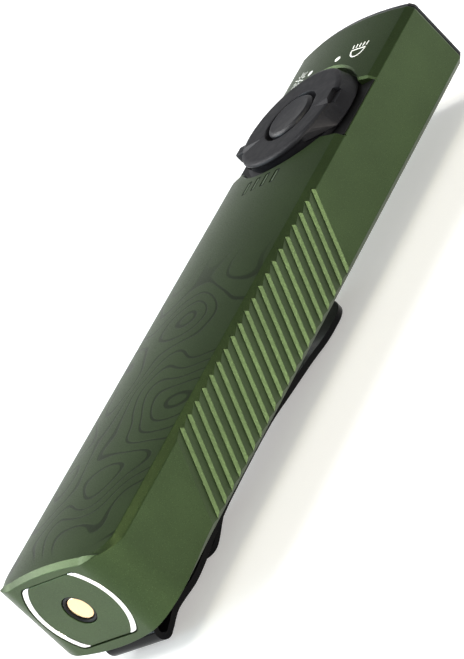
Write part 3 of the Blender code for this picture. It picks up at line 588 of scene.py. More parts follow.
def make_gap_shades():
    """Black rings in the gap round each blade: painted shade that darkens the gaps."""
    gap_shades = None
    for x in SLOT_SPOTS:
        rings = [slot_outline(x, gap, 0.18) for gap in (0.03, SLOT_GAP - 0.03)]
        top = front_crown(x) - 0.07
        # each black ring is painted shade in a slot's gap
        seal = prism("slot_gap_shades", rings, top - 0.7, top, "Z")
        if gap_shades:
            cut(gap_shades, seal, "UNION")
        else:
            gap_shades = seal
    return gap_shades


def make_pocket_shade_mat():
    """A black mat on the pocket's floor round the detent track, out to both sides: painted shade that darkens
    the pocket floor and its openings.
    """
    low, high = POCKET_FLOOR + 0.02, POCKET_FLOOR + 0.15
    shade_mat = rod("pocket_shade_mat", POCKET_RADIUS - 0.1, low, high, (0, KNOB_Y), steps=128)
    reach, (rear, fore) = HALF_WIDTH - 0.2, POCKET_NOTCH
    cut(shade_mat, box("ends", (-reach, rear + 0.1, low), (reach, fore - 0.1, high)), "UNION")
    cut(shade_mat, rod("track", SHADE_MAT_INNER, low - 1, high + 1, (0, KNOB_Y)))
    return shade_mat


# =============================== selector, button ===============================
def notch_cutter(side, turn):
    """A V that widens and deepens outwards."""
    bm = bmesh.new()
    lip = KNOB_TOP + 0.3
    outer = WING_REACH + 0.6
    middle = KNOB_Y + WING_SHIFT
    start = NOTCH_START - (lip - KNOB_TOP) / NOTCH_FALL
    spread = (outer - start) * NOTCH_SPREAD
    tip = bm.verts.new((side * start, middle, lip))
    low = bm.verts.new((side * outer, middle, lip - (outer - start) * NOTCH_FALL))
    left = bm.verts.new((side * outer, middle - spread, lip))
    right = bm.verts.new((side * outer, middle + spread, lip))
    for corners in ((tip, left, low), (tip, low, right), (tip, right, left), (left, right, low)):
        bm.faces.new(corners)
    centre = Matrix.Translation((0, KNOB_Y, 0))
    bm.transform(centre @ Matrix.Rotation(math.radians(turn), 4, "Z") @ centre.inverted())
    return new_object("notch", bm)


def flare(side):
    """A shoulder: from the ring's plateau down to the pocket's edge, running out along the rim."""
    bm = bmesh.new()
    for radius, height, start, end in FLARE:
        for x, y in arc((0, 0), radius, start, end, 24):
            bm.verts.new((side * x, KNOB_Y + y, height))
    hull = bmesh.ops.convex_hull(bm, input=bm.verts)
    loose = {v for v in hull["geom_interior"] + hull["geom_unused"] if isinstance(v, bmesh.types.BMVert)}
    bmesh.ops.delete(bm, geom=list(loose), context="VERTS")
    return new_object("flare", bm)


def make_selector():
    """The ring on its hub and web, with two wings, a prong and the notches."""
    skirt = POCKET_FLOOR + 0.3
    rim = arc((KNOB_RIM - 0.45, KNOB_TOP - 0.6), 0.45, 75, -65, 10)
    lip = [(KNOB_BORE, KNOB_TOP - 0.25), (KNOB_BORE + 0.08, KNOB_TOP - 0.08), (KNOB_BORE + 0.25, KNOB_TOP)]
    shoulder = [(8.7, KNOB_TOP - 0.01), (9.05, KNOB_TOP - 0.03)]
    hub = [(HUB_SKIN, skirt), (HUB_SKIN, HUB_END), (KNOB_BORE, HUB_END), (KNOB_BORE, WEB_LOW)]
    web = [(WEB_BORE, WEB_LOW), (WEB_BORE, WEB_HIGH), (KNOB_BORE, WEB_HIGH)]
    flank = [(KNOB_RIM - 0.4, 6.5), (KNOB_SKIRT, 6.3), (KNOB_SKIRT, skirt)]
    profile = [*lip, *shoulder, *rim, *flank, *hub, *web]
    ring = lathe("selector_body", profile, (0, KNOB_Y), steps=160, closed=True)
    wings = flare(1)
    cut(wings, flare(-1), "UNION")
    prong = box("prong", *PRONG)
    round_edges(prong, 0.25, 3)
    cut(wings, prong, "UNION")
    cut(ring, wings, "UNION")
    cut(ring, box("step", *STEP))
    cut(ring, notch_cutter(-1, LEFT_NOTCH_TURN))
    cut(ring, notch_cutter(1, 0))
    round_edges(ring, 0.07, 2, 28)
    return ring


def make_button():
    """The push button: a dished top in a raised rim, and its stem."""
    under = BUTTON_TOP - 1.35
    edge = BUTTON_RADIUS
    profile = [(0, BUTTON_TOP - 0.1), (1.5, BUTTON_TOP - 0.085), (edge - 0.75, BUTTON_TOP - 0.02),
               (edge - 0.6, BUTTON_TOP), (edge - 0.5, BUTTON_TOP - 0.015), (edge - 0.12, BUTTON_TOP - 0.28),
               (edge - 0.03, BUTTON_TOP - 0.38), (edge, BUTTON_TOP - 0.5), (edge, under + 0.1),
               (edge - 0.1, under), (1.9, under), (1.9, 4.4), (0, 4.4)]
    return lathe("button_top", profile, (0, KNOB_Y), steps=128, sharp=30)


def make_spring(turns=3.0, steps=40, around=10):
    """The conical return spring between the ring's web and the button."""
    low, high = (local(corner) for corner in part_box("button_spring"))
    wire = 0.14
    wide, narrow = high.x - wire, 2.6
    bm = bmesh.new()
    rings = []
    count = round(turns * steps)
    for i in range(count + 1):
        share = i / count
        a = math.tau * turns * share
        radius = wide + (narrow - wide) * share
        out = Vector((math.cos(a), math.sin(a), 0))
        middle = out * radius + Vector((0, KNOB_Y, low.z + wire + (high.z - low.z - 2 * wire) * share))
        spots = [middle + out * x + Vector((0, 0, z)) for x, z in arc((0, 0), wire, 0, 360, around)[:-1]]
        rings.append([bm.verts.new(spot) for spot in spots])
    loft(bm, rings)
    return new_object("return_spring", bm, 50), low.z, high.z


# ================================= tail contact =================================
def make_contact():
    """The outer contact, whose arcs stay bare, the green plate in it, and the pin in its collar."""
    outer = flattened_circle(ISLAND_RADIUS, ISLAND_HALF_HEIGHT, ISLAND_CORNER)
    bore = arc((0, 0), INSULATOR_RADIUS + 0.1, 360, 0, 64)[:-1]
    ring = prism("contact_arcs", [outer, bore], RING_FACE, ISLAND_BACK, "Y")
    cut(ring, rod("well", RING_INNER, -1, ISLAND_SEAT, axis="Y", steps=128))
    round_edges(ring, 0.08, 3, 40)

    plate = flattened_circle(RING_INNER - GAP / 2, ISLAND_HALF_HEIGHT, 0.3)
    island = prism("contact_plate", [plate, bore], ISLAND_FACE, ISLAND_SEAT - 0.1, "Y")
    round_edges(island, 0.09, 3, 40)

    sleeve = [(INSULATOR_RADIUS, INSULATOR_END), (INSULATOR_RADIUS, 0.3), (INSULATOR_RADIUS - 0.03, 0.24),
              (INSULATOR_RADIUS - 0.09, 0.21), (PIN_RADIUS + 0.25, 0.25), (PIN_RADIUS + 0.13, 0.32),
              (PIN_RADIUS + 0.1, 0.42), (PIN_RADIUS + 0.1, INSULATOR_END)]
    collar = lathe("contact_collar", sleeve, axis="Y", closed=True)

    shank = [(0, PIN_END), (0.9, PIN_END), (0.9, 8.3), (PIN_RADIUS, 8.1), (PIN_RADIUS, 0.58)]
    tip = [(PIN_RADIUS - 0.04, 0.51), (PIN_RADIUS - 0.1, 0.47), (PIN_RADIUS - 0.2, 0.45), (1.0, 0.44),
           (0.5, 0.43), (0, 0.43)]
    pin = lathe("gold_pin", shank + tip, axis="Y")
    return ring, island, collar, pin


# ===================================== clip =====================================
def leaf_height(y):
    """Middle of the outer leaf, as a smooth curve through LEAF."""
    for i in range(len(LEAF) - 1):
        (y0, z0), (y1, z1) = LEAF[i:i + 2]
        if y <= y1:
            break
    span = y1 - y0
    share = (y - y0) / span
    slopes = []
    for j in (i, i + 1):
        (ya, za), (yb, zb) = LEAF[max(j - 1, 0)], LEAF[min(j + 1, len(LEAF) - 1)]
        slopes.append((zb - za) / (yb - ya) * span)
    near, far = (1 + 2 * share) * (1 - share) ** 2, share * share * (3 - 2 * share)
    lean_in, lean_out = share * (1 - share) ** 2, share * share * (share - 1)
    return near * z0 + far * z1 + lean_in * slopes[0] + lean_out * slopes[1]


def strip(line, thickness):
    """The outline of a bent sheet of even thickness along a centre line."""
    outer, inner = [], []
    for i, here in enumerate(line):
        before = Vector(line[max(i - 1, 0)])
        after = Vector(line[min(i + 1, len(line) - 1)])
        along = (after - before).normalized()
        side = Vector((-along.y, along.x)) * thickness / 2
        outer.append(tuple(Vector(here) + side))
        inner.append(tuple(Vector(here) - side))
    return outer + inner[::-1]


def tongue_plan(half_width, root, tip, steps=48):
    """A plan outline: square at the root, a half circle at the tip."""
    way = math.copysign(1, tip - root)
    middle = tip - way * half_width
    turn = [(x, middle + way * y) for x, y in arc((0, 0), half_width, 0, 180, steps)]
    return [(half_width, root), *turn, (-half_width, root)]


def make_clip():
    """One bent strip: screwed leaf, fold and outer leaf, with the window for the tongue."""
    fold = arc(FOLD_CENTRE, FOLD_RADIUS, 100, 290, 28)
    start = CLIP_HINGE[0] + 0.3
    stations = [start + (CLIP_TIP + 0.5 - start) * i / 120 for i in range(121)]
    line = [(CLIP_BASE_END, CLIP_BASE_Z), (10.0, CLIP_BASE_Z), (FOLD_CENTRE[0] + 0.6, CLIP_BASE_Z), *fold,
            (CLIP_HINGE[0] - 0.3, CLIP_HINGE[1] - 0.13), *[(y, leaf_height(y)) for y in stations]]
    sheet = prism("spring_clip", [strip(line, CLIP_SHEET)], -CLIP_HALF_WIDTH, CLIP_HALF_WIDTH, "X")
    plan = tongue_plan(CLIP_HALF_WIDTH + 0.001, -5, CLIP_TIP)
    cut(sheet, prism("plan", [plan], -20, 0, "Z"), "INTERSECT")
    window = tongue_plan(TONGUE_HALF_WIDTH + TONGUE_SLOT, TONGUE_ROOT + 0.05, TONGUE_TIP - TONGUE_SLOT)
    cut(sheet, prism("window", [window], -20, -8.3, "Z"))
    for spot in SCREW_SPOTS:
        cut(sheet, rod("driver_hole", DRIVER_HOLE, -20, -8.3, spot, steps=48))
        cut(sheet, rod("screw_hole", 1.15, -8.4, -7, spot, steps=32))
    round_edges(sheet, 0.12, 3, 35)
    return sheet


def smooth_line(points, steps=6):
    """A smooth curve through the points."""
    result = []
    for i in range(len(points) - 1):
        p0, p1 = Vector(points[max(i - 1, 0)]), Vector(points[i])
        p2, p3 = Vector(points[i + 1]), Vector(points[min(i + 2, len(points) - 1)])
        for j in range(steps):
            t = j / steps
            spot = p1 * 2 + (p2 - p0) * t + (p0 * 2 - p1 * 5 + p2 * 4 - p3) * t * t
            spot += (p1 * 3 - p0 - p2 * 3 + p3) * t ** 3
            result.append(tuple(spot / 2))
    result.append(points[-1])
    return result


def make_tongue():
    """The short leaf, cut out of the outer one, that points to the tail."""
    sheet = prism("clip_lever", [strip(smooth_line(TONGUE), TONGUE_SHEET)], -6, 6, "X")
    plan = tongue_plan(TONGUE_HALF_WIDTH, TONGUE_ROOT + 2, TONGUE_TIP)
    cut(sheet, prism("plan", [plan], -20, 0, "Z"), "INTERSECT")
    round_edges(sheet, 0.12, 3, 35)
    return sheet


def make_screw(name, spot):
    """A flat head with a hexagon socket, seen through the outer leaf's hole."""
    face = CLIP_BASE_Z - CLIP_SHEET / 2 - 0.5
    profile = [(0, -5.7), (0.8, -5.7), (0.8, face + 0.4), (1.46, face + 0.38), (1.5, face + 0.3),
               (1.5, face + 0.14), (1.44, face + 0.04), (1.3, face), (0, face)]
    screw = lathe(name, profile, spot, steps=48)
    hexagon = arc(spot, 0.62, 0, 360, 6)[:-1]
    cut(screw, prism("socket", [hexagon], face - 1, face + 0.32, "Z"))
    return screw


# ===================================== head =====================================
def window_outline(grow=0.0):
    (x0, _, z0), (x1, _, z1) = WINDOW
    return round_box((x0 - grow, z0 - grow), (x1 + grow, z1 + grow), WINDOW_CORNER + grow, 12)


def make_bezel():
    rim = shell_section(SHELL_END, BACK_CHAMFER, 0.25)
    cover = prism("bezel_cover", [rim], SHELL_END + 0.3, LENGTH, "Y")
    side = HALF_WIDTH - WALL_SIDE - 0.3
    plug = round_box((-side, BAY_BACK + 0.3), (side, BAY_FRONT - 0.3), 1.2)
    cut(cover, prism("plug", [plug], WINDOW[0][1] - 0.5, SHELL_END + 0.5, "Y"), "UNION")
    cut(cover, prism("seat", [window_outline(0.1)], WINDOW[0][1] - 2, WINDOW[1][1] + 0.1, "Y"))
    cut(cover, prism("mouth", [window_outline(-0.6)], WINDOW[0][1], LENGTH + 1, "Y"))
    round_edges(cover, 0.2, 3, 40)
    return cover


def make_window():
    glass = prism("window_glass", [window_outline()], WINDOW[0][1], WINDOW[1][1], "Y")
    round_edges(glass, 0.12, 2, 40)
    return glass


def make_optic():
    """A moulded lens with a flat face, a dished centre and a cup for the lamp."""
    front, base = OPTIC_FRONT, LED_BOARD_FACE
    dish = [(0, front - 0.35), (0.8, front - 0.32), (1.5, front - 0.12), (1.9, front)]
    rim = [(OPTIC_RADIUS - 0.1, front), (OPTIC_RADIUS, front - 0.1), (OPTIC_RADIUS, front - 0.5)]
    flank = [(4.45, front - 1.2), (3.9, base + 2.8), (3.1, base + 1.7), (2.3, base + 0.9)]
    cup = [(1.9, base + 0.9), (1.8, base + 1.6), (1.7, base + 2.4), (0.8, base + 2.65), (0, base + 2.7)]
    profile = dish + rim + flank + cup
    return lathe("lamp_optic", profile, (OPTIC_X, 0), "Y", 96)


def make_lamp():
    """The emitter: a square frame with a yellow dome on it."""
    base = LED_BOARD_FACE
    lamp = box("lamp_emitter", (OPTIC_X - 1.75, base, -1.75), (OPTIC_X + 1.75, base + 0.7, 1.75))
    round_edges(lamp, 0.15, 3)
    dome = [(0, base + 1.5), (0.4, base + 1.46), (0.8, base + 1.3), (1.1, base + 1.08), (1.28, base + 0.8),
            (1.35, base + 0.5), (0, base + 0.5)]
    cut(lamp, lathe("dome", dome, (OPTIC_X, 0), "Y", 64), "UNION")
    return lamp


def make_holder():
    """Black carrier with a round bore for each optic and a ring of small dimples round the main one."""
    back, front = LED_BOARD_FACE + 0.1, OPTIC_FRONT - 0.1
    holder = box("optic_carrier", (-9.9, back, -5.1), (9.9, front, 5.1))
    round_edges(holder, 0.8, 4)
    for x, radius in ((OPTIC_X, OPTIC_RADIUS), (LASER_X, LASER_RADIUS)):
        cut(holder, rod("bore", radius + 0.1, back - 1, front + 1, (x, 0), "Y", 128))
    for x, z in arc((OPTIC_X, 0), 5.9, 22.5, 382.5, 8)[:-1]:
        if abs(z) < 4.4 and x > -9.2:
            cut(holder, rod("dimple", 0.22, front - 0.2, front + 1, (x, z), "Y", 24))
    round_edges(holder, 0.08, 2)
    return holder


def make_laser():
    """A brass barrel with two key slots, and its small lens."""
    back, front = LED_BOARD_FACE + 0.1, OPTIC_FRONT
    inner = LASER_RADIUS - 0.6
    profile = [(LASER_RADIUS - 0.12, front), (LASER_RADIUS, front - 0.12), (LASER_RADIUS, back), (0.8, back),
               (0.8, back + 1.2), (inner, back + 1.2), (inner, front - 0.3), (inner + 0.25, front)]
    barrel = lathe("laser_tube", profile, (LASER_X, 0), "Y", 96, closed=True)
    for way in (1, -1):
        x = LASER_X + way * (LASER_RADIUS - 0.3)
        cut(barrel, box("key", (x - 0.5, front - 0.35, -0.25), (x + 0.5, front + 1, 0.25)))
    rim = inner - 0.1
    lens = [(0, front - 0.2), (0.6, front - 0.22), (1.2, front - 0.3), (1.7, front - 0.42),
            (rim, front - 0.55), (rim, front - 1.2), (0, front - 1.2)]
    return barrel, lathe("laser_glass", lens, (LASER_X, 0), "Y", 96)


# ================================= printed marks =================================
def add_mark(bm, outline):
    """One printed shape on the crown, as a thin closed plate."""
    rings = []
    for lift in (MARK_LIFT, MARK_LIFT - MARK_DEPTH):
        rings.append([bm.verts.new((x, y, front_crown(x) + lift)) for x, y in outline])
    loft(bm, rings)


def stroke(start, end, width):
    """The outline of a straight stroke with round ends."""
    start, end = Vector(start), Vector(end)
    along = math.degrees(math.atan2(end.y - start.y, end.x - start.x))
    return arc(end, width / 2, along - 90, along + 90, 8) + arc(start, width / 2, along + 90, along + 270, 8)


def make_marks():
    """Mode signs in front of the selector: a flood lamp, a pointer burst and their index dots."""
    bm = bmesh.new()
    for spot in INDEX_DOTS:
        add_mark(bm, arc(spot, 0.54, 0, 360, 24)[:-1])
    wide, deep = 1.3, 1.75
    x, y = LAMP_SIGN
    bowl = [(x + wide * a, y + deep * b) for a, b in arc((0, 0), 1, 180, 360, 24)]
    rim = [(x - wide + 0.25 * wide * i, y) for i in range(9)]
    for first, second in [*zip(bowl, bowl[1:]), *zip(rim, rim[1:])]:
        add_mark(bm, stroke(first, second, 0.27))
    for i in range(5):
        along = wide * (i / 2 - 1)
        add_mark(bm, stroke((x + along, y + 0.5), (x + along * 1.08, y + 1.2), 0.22))
    for i, (a, b) in enumerate(arc((0, 0), 1, 0, 360, 12)[:-1]):
        near, far = (0.7, 1.85) if i % 2 else (0.95, 1.5)
        way = Vector((a, b))
        add_mark(bm, stroke(BURST_SIGN + way * near, BURST_SIGN + way * far, 0.17))
    add_mark(bm, arc(BURST_SIGN, 0.3, 0, 360, 24)[:-1])
    return new_object("mode_marks", bm)


# =================================== finishes ===================================
def feed(tree, socket, value):
    """Links another node's output to the socket, or sets a plain value."""
    if isinstance(value, bpy.types.NodeSocket):
        tree.links.new(value, socket)
    else:
        socket.default_value = value


def add_node(tree, kind, settings=None, **inputs):
    node = tree.nodes.new(kind)
    for key, value in (settings or {}).items():
        setattr(node, key, value)
    for key, value in inputs.items():
        feed(tree, node.inputs[key.replace("_", " ")], value)
    return node


def math_node(tree, operation, *values):
    node = add_node(tree, "ShaderNodeMath", {"operation": operation})
    for socket, value in zip(node.inputs, values):
        feed(tree, socket, value)
    return node.outputs[0]


def ramp(tree, value, low, high, start=0.0, end=1.0):
    """Maps value from low..high to start..end, smoothly and clamped."""
    node = add_node(tree, "ShaderNodeMapRange", {"interpolation_type": "SMOOTHSTEP"}, Value=value)
    for key, number in zip(("From Min", "From Max", "To Min", "To Max"), (low, high, start, end)):
        node.inputs[key].default_value = number
    return node.outputs[0]


def along_axis(tree, kind, output, axis):
    """One coordinate of a place or normal."""
    vector = add_node(tree, kind).outputs[output]
    return add_node(tree, "ShaderNodeSeparateXYZ", Vector=vector).outputs[axis]


def mix(tree, share, first, second):
    """The first colour where share is 0, the second where it is 1."""
    node = add_node(tree, "ShaderNodeMix", {"data_type": "RGBA"})
    feed(tree, node.inputs[0], share)
    for socket, colour in ((node.inputs[6], first), (node.inputs[7], second)):
        feed(tree, socket, (*colour, 1.0) if isinstance(colour, tuple) else colour)
    return node.outputs[2]


def shade(colour, share):
    return tuple(min(1.0, channel * share) for channel in colour)


class Finish:
    """A material in the making: grain, tone and roughness from noise in the piece's own space."""

    def __init__(self, name, colour, roughness, metallic=0.0, stretch=(1, 1, 1)):
        self.material = bpy.data.materials.new(name)
        self.material.use_nodes = True
        self.tree = self.material.node_tree
        self.shader = self.tree.nodes["Principled BSDF"]
        self.shader.inputs["Metallic"].default_value = metallic
        place = add_node(self.tree, "ShaderNodeTexCoord").outputs["Object"]
        self.place = add_node(self.tree, "ShaderNodeMapping", Vector=place, Scale=stretch).outputs[0]
        self.colour = self.tone(colour, 90.0, 0.10)
        self.rough = ramp(self.tree, self.noise(700.0, 4.0), 0.3, 0.7, roughness - 0.05, roughness + 0.05)
        self.heights = []

    def noise(self, scale, detail=3.0):
        node = add_node(self.tree, "ShaderNodeTexNoise", Vector=self.place, Scale=scale, Detail=detail)
        return node.outputs["Fac"]

    def cells(self, scale, feature="F1"):
        settings = {"feature": feature}
        node = add_node(self.tree, "ShaderNodeTexVoronoi", settings, Vector=self.place, Scale=scale)
        return node.outputs["Distance"]

    def tone(self, colour, scale, depth):
        """The colour with soft lighter and darker clouds."""
        cloud = ramp(self.tree, self.noise(scale, 5.0), 0.3, 0.7)
        return mix(self.tree, cloud, shade(colour, 1 - depth), shade(colour, 1 + depth))

    def grain(self, scale=9000.0, height=0.004, detail=2.0):
        """Fine bumps; height is in millimetres."""
        self.heights.append(math_node(self.tree, "MULTIPLY", self.noise(scale, detail), height * MM))

    def dents(self, mask, height):
        self.heights.append(math_node(self.tree, "MULTIPLY", mask, height * MM))

    def specks(self, colour, scale, size=0.12):
        """Small flakes of another colour."""
        mask = ramp(self.tree, self.cells(scale), size, size * 0.5)
        self.colour = mix(self.tree, mask, self.colour, colour)

    def done(self, **inputs):
        links = self.tree.links
        links.new(self.colour, self.shader.inputs["Base Color"])
        links.new(self.rough, self.shader.inputs["Roughness"])
        total = self.heights[0]
        for height in self.heights[1:]:
            total = math_node(self.tree, "ADD", total, height)
        bump = add_node(self.tree, "ShaderNodeBump", Height=total, Strength=1.0, Distance=1.0)
        links.new(bump.outputs[0], self.shader.inputs["Normal"])
        for key, value in inputs.items():
            self.shader.inputs[key.replace("_", " ")].default_value = value
        return self.material


GREEN = (0.037, 0.061, 0.022)


def anodised_shell():
    """Satin bead-blasted anodising, with faint engraved contour lines on the front's tail half."""
    made = Finish("anodised_green", GREEN, 0.38, 0.70)
    made.grain(9000.0, 0.0014)
    made.specks(shade(GREEN, 1.7), 4200.0, 0.24)
    made.specks(shade(GREEN, 0.5), 3700.0, 0.22)
    tree = made.tree
    made.rough = ramp(tree, made.noise(5200.0, 2.0), 0.3, 0.7, 0.34, 0.43)
    y = along_axis(tree, "ShaderNodeTexCoord", "Object", "Y")
    front = ramp(tree, along_axis(tree, "ShaderNodeNewGeometry", "Normal", "Z"), 0.94, 0.965)
    land, contours = made.noise(48.0, 1.2), 19.0
    level = math_node(tree, "FRACT", math_node(tree, "MULTIPLY", land, contours))
    away = math_node(tree, "ABSOLUTE", math_node(tree, "SUBTRACT", level, 0.5))
    line = ramp(tree, away, 0.12, 0.06)
    start = ramp(tree, y, ORIGIN.y + 2.0 * MM, ORIGIN.y + 5.0 * MM)
    fade = ramp(tree, y, ORIGIN.y + 50.0 * MM, ORIGIN.y + 63.0 * MM, 1.0, 0.0)
    mask = math_node(tree, "MULTIPLY", line, math_node(tree, "MULTIPLY", front, start))
    mask = math_node(tree, "MULTIPLY", mask, fade)
    made.colour = mix(tree, math_node(tree, "MULTIPLY", mask, 0.7), made.colour, shade(GREEN, 0.25))
    made.dents(mask, -0.012)
    return made.done(Specular_IOR_Level=0.32)


def brushed(name, colour, roughness, stretch, metallic=1.0):
    """Metal with long fine brush lines along one axis."""
    made = Finish(name, colour, roughness, metallic, stretch)
    made.grain(7000.0, 0.0012)
    made.grain(18000.0, 0.0006)
    return made.done()


def moulded(name, colour, roughness, **inputs):
    """Spark-eroded plastic with fine round pits."""
    made = Finish(name, colour, roughness)
    made.grain(9000.0, 0.003)
    made.dents(made.cells(5200.0), 0.0025)
    return made.done(**inputs)


def plated(name, colour, roughness):
    """Polished plating with a faint haze and a few dull specks."""
    made = Finish(name, colour, roughness, 1.0)
    made.grain(2600.0, 0.0006)
    made.specks(shade(colour, 0.8), 1500.0, 0.05)
    return made.done()


def circuit_board():
    """Green solder mask over copper tracks, with pads."""
    made = Finish("circuit_board", (0.012, 0.11, 0.045), 0.38)
    tree = made.tree
    tracks = ramp(tree, made.cells(420.0, "DISTANCE_TO_EDGE"), 0.09, 0.05)
    made.colour = mix(tree, tracks, made.colour, (0.03, 0.2, 0.075))
    made.dents(tracks, 0.03)
    made.specks((0.75, 0.62, 0.3), 700.0, 0.16)
    made.grain(9000.0, 0.002)
    return made.done(Coat_Weight=0.3)


def cell_wrap():
    """Shrink sleeve with fine lengthwise ripples."""
    made = Finish("cell_sleeve", (0.03, 0.075, 0.17), 0.34, stretch=(1.0, 0.12, 1.0))
    made.dents(made.noise(900.0, 3.0), 0.02)
    made.grain(6000.0, 0.003)
    return made.done(Coat_Weight=0.4)


def flecked(name, colour, roughness, flecks, grain, **inputs):
    """A filled plastic, rubber or paint; flecks are (colour, scale, size) and grain is (scale, height)."""
    made = Finish(name, colour, roughness)
    made.specks(*flecks)
    made.grain(*grain)
    return made.done(**inputs)


def glass(name, tint, roughness=0.02):
    """A clear part with a faint ripple."""
    made = Finish(name, tint, roughness + 0.05)
    made.rough = ramp(made.tree, made.noise(500.0), 0.3, 0.7, roughness, roughness + 0.02)
    made.grain(400.0, 0.0006)
    return made.done(Transmission_Weight=1.0, IOR=1.5)


def knob_finish():
    made = Finish("selector_black", (0.010, 0.010, 0.012), 0.46, 0.2)
    made.grain(8500.0, 0.0022)
    made.dents(made.cells(5000.0), 0.0012)
    made.specks((0.05, 0.05, 0.055), 3000.0, 0.12)
    return made.done(Specular_IOR_Level=0.2)


def clip_finish():
    made = Finish("clip_black", (0.004, 0.004, 0.0045), 0.15, 0.0)
    made.grain(6500.0, 0.0012)
    made.grain(1500.0, 0.0015)
    return made.done(Specular_IOR_Level=0.08)


def paint(target, material):
    target.data.materials.clear()
    target.data.materials.append(material)


# =================================== assembly ===================================
shell_paint = anodised_shell()
clip_paint = clip_finish()
knob_paint = knob_finish()
steel = plated("steel_plated", (0.56, 0.57, 0.58), 0.3)
gold = plated("gold_plated", (0.90, 0.64, 0.36), 0.24)
contact_bright = plated("contact_polished", (0.88, 0.88, 0.84), 0.18)
brass = plated("brass_turned", (0.72, 0.52, 0.22), 0.28)
copper = brushed("copper_rolled", (0.75, 0.38, 0.22), 0.34, (1.0, 0.08, 1.0))
button_paint = moulded("button_black", (0.011, 0.011, 0.013), 0.40, Specular_IOR_Level=0.26)
bezel_paint = brushed("bezel_black", (0.028, 0.029, 0.032), 0.36, (0.2, 1.0, 1.0), 0.7)
plastic = moulded("black_moulding", (0.006, 0.006, 0.0065), 0.42, Specular_IOR_Level=0.14)
smoke = moulded("tinted_guide", (0.045, 0.070, 0.034), 0.4)
seal_rubber = flecked("seal_rubber", (0.022, 0.022, 0.023), 0.78, ((0.0484, 0.0484, 0.0506), 5200.0, 0.16),
                      (4200.0, 0.006))
board = circuit_board()
sleeve = cell_wrap()
chips = flecked("chip_moulding", (0.022, 0.022, 0.024), 0.62, ((0.09, 0.09, 0.09), 4500.0, 0.18),
                (6500.0, 0.005))
phosphor_paint = flecked("lamp_phosphor", (0.86, 0.66, 0.09), 0.5, ((0.98, 0.86, 0.3), 5200.0, 0.3),
                         (8000.0, 0.003), Coat_Weight=0.5)
window_glass = glass("coated_glass", (0.93, 0.96, 0.98))
lens_glass = glass("optic_acrylic", (0.98, 0.99, 0.98))
white = flecked("white_print", (0.86, 0.88, 0.84), 0.5, ((0.6, 0.62, 0.56), 4200.0, 0.14), (9000.0, 0.003))

ring, island, collar, pin = make_contact()
barrel, laser_glass = make_laser()
# each piece with its body, material slot, finish and the CAD node that it stands for
made_pieces = (
    (make_shell(), "light_body", "shell_green", shell_paint, "body_shell"),
    (ring, "light_body", "bare_metal", contact_bright, "contact_ring"),
    (island, "light_body", "shell_green", shell_paint, "tail_island"),
    (collar, "light_body", "black_plastic", plastic, "contact_insulator"),
    (pin, "light_body", "gold_contact", gold, "contact_pin"),
    (make_selector(), "selector", "selector_black", knob_paint, "selector_ring"),
    (make_button(), "button", "black_metal", button_paint, "button_cap"),
    (make_tongue(), "tongue", "spring_clip", clip_paint, "clip_tongue"),
    (make_screw("left_screw", SCREW_SPOTS[0]), "light_body", "steel", steel, "clip_screw_left"),
    (make_screw("right_screw", SCREW_SPOTS[1]), "light_body", "steel", steel, "clip_screw_right"),
    (make_bezel(), "light_body", "black_metal", bezel_paint, "front_bezel"),
    (make_window(), "light_body", "clear_glass", window_glass, "front_window"),
    (make_optic(), "light_body", "clear_glass", lens_glass, "main_optic"),
    (make_lamp(), "light_body", "lamp_phosphor", phosphor_paint, "main_led"),
    (make_holder(), "light_body", "black_plastic", plastic, "optic_holder"),
    (barrel, "light_body", "brass", brass, "laser_barrel"),
    (laser_glass, "light_body", "clear_glass", lens_glass, "laser_lens"),
    (make_guides(), "light_body", "black_plastic", smoke, "indicator_windows"),
    # black rings in the slot gaps: painted shade
    (make_gap_shades(), "light_body", "black_plastic", plastic, None),
    # black mat on the pocket floor: painted shade
    (make_pocket_shade_mat(), "light_body", "black_plastic", plastic, None),
    (make_marks(), "light_body", None, white, None),
)
for made, body, slot, finish, node in made_pieces:
    paint(made, finish)
    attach(made, body)
    if node:
        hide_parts(node)

clip = make_clip()
paint(clip, clip_paint)
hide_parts("clip_base", "clip_arm")

coil, coil_low, coil_high = make_spring()
paint(coil, steel)
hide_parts("button_spring")
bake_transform(coil)

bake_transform(clip)

carried = {
    steel: ("tail_magnet", "battery_tab_minus", "battery_tab_plus", "tactile_switch", "selector_magnet",
            "detent_ball_rear", "detent_ball_front", "selector_retainer", "button_retainer"),
    plastic: ("contact_carrier",),
    seal_rubber: ("tail_seal", "battery_pad", "selector_seal", "lens_gasket"),
    board: ("charge_board", "driver_board", "led_board"),
    chips: ("power_inductor", "driver_transistor", "controller_chip", "rotation_sensor"),
    sleeve: ("battery_cell",),
    copper: ("flex_cable", "heat_spreader"),
    phosphor_paint: ("indicator_leds",),
    gold: ("laser_diode",),
}
for finish, nodes in carried.items():
    for node in nodes:
        paint(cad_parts[node], finish)


# ==================================== studio ====================================
def softbox(name, spot, aim, size, power, colour=(1, 1, 1)):
    data = bpy.data.lights.new(name, "AREA")
    data.shape = "RECTANGLE"
    data.size, data.size_y = size
    data.energy = power
    data.color = colour
    lamp = bpy.data.objects.new(name, data)
    lamp.location = spot
    lamp.rotation_euler = (Vector(aim) - Vector(spot)).to_track_quat("-Z", "Y").to_euler()
    collection.objects.link(lamp)


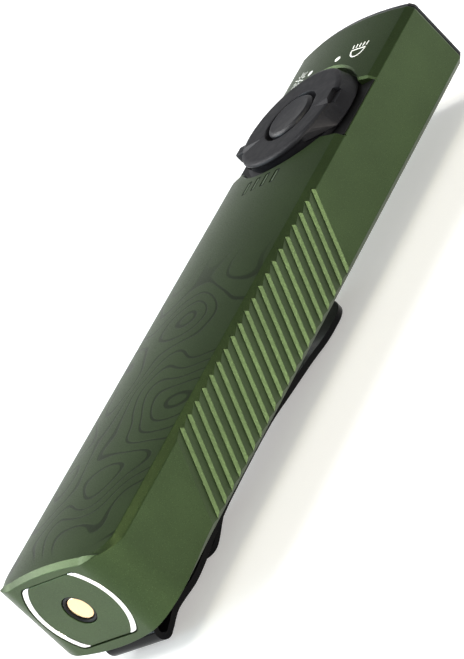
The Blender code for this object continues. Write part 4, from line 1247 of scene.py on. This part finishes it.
def floor():
    bm = bmesh.new()
    bmesh.ops.create_grid(bm, x_segments=8, y_segments=8, size=FLOOR_HALF)
    bm.transform(Matrix.Translation((0, 0, cad_low.z - 0.00002)))
    mesh = bpy.data.meshes.new("studio_floor")
    bm.to_mesh(mesh)
    bm.free()
    made = bpy.data.objects.new("studio_floor", mesh)
    collection.objects.link(made)
    pale = Finish("studio_paper", (0.86, 0.86, 0.86), 0.9)
    pale.colour = pale.tone((0.9, 0.9, 0.9), 3.0, 0.01)
    pale.grain(900.0, 0.01)
    paint(made, pale.done(Specular_IOR_Level=0.1, Emission_Color=(1, 1, 1, 1), Emission_Strength=0.26))


def studio():
    world = bpy.data.worlds.new("studio")
    bpy.context.scene.world = world
    world.use_nodes = True
    tree = world.node_tree
    shader = tree.nodes["Background"]
    height = ramp(tree, along_axis(tree, "ShaderNodeTexCoord", "Generated", "Z"), 0.08, 0.66)
    sky = mix(tree, height, (1.0, 1.0, 1.0), (0.24, 0.25, 0.27))
    tree.links.new(sky, shader.inputs["Color"])
    shader.inputs["Strength"].default_value = 0.66
    middle = (0, 0, 0.01)
    softbox("side_strip", (0.82, -0.5, 0.28), middle, (0.3, 0.22), 5.6, (1.0, 0.92, 0.82))
    softbox("key", (0.65, -0.3, 0.55), middle, (0.6, 0.5), 0.9)
    softbox("top", (0.15, -0.3, 0.9), middle, (0.4, 0.4), 1.6)
    softbox("rim", (-0.7, -0.1, 0.75), middle, (0.8, 0.7), 13.0)
    softbox("edge", (0.13, 0.05, 0.27), (0, -0.05, 0.02), (0.08, 0.08), 0.2, (1.0, 0.94, 0.68))
    softbox("fill", (-0.75, -0.62, 0.35), middle, (0.5, 0.4), 5.6, (0.72, 0.91, 1.0))


def camera():
    data = bpy.data.cameras.new("photo_view")
    data.lens = CAMERA_LENS
    data.sensor_fit = "VERTICAL"
    data.sensor_width = data.sensor_height = CAMERA_SENSOR
    data.shift_x, data.shift_y = CAMERA_SHIFT
    data.clip_start = 0.01
    data.clip_end = 50.0
    made = bpy.data.objects.new("photo_view", data)
    made.location = CAMERA_PLACE
    made.rotation_euler = [math.radians(turn) for turn in CAMERA_TURN]
    collection.objects.link(made)
    bpy.context.scene.camera = made


floor()
studio()
camera()
bpy.context.scene.view_settings.view_transform = "Standard"
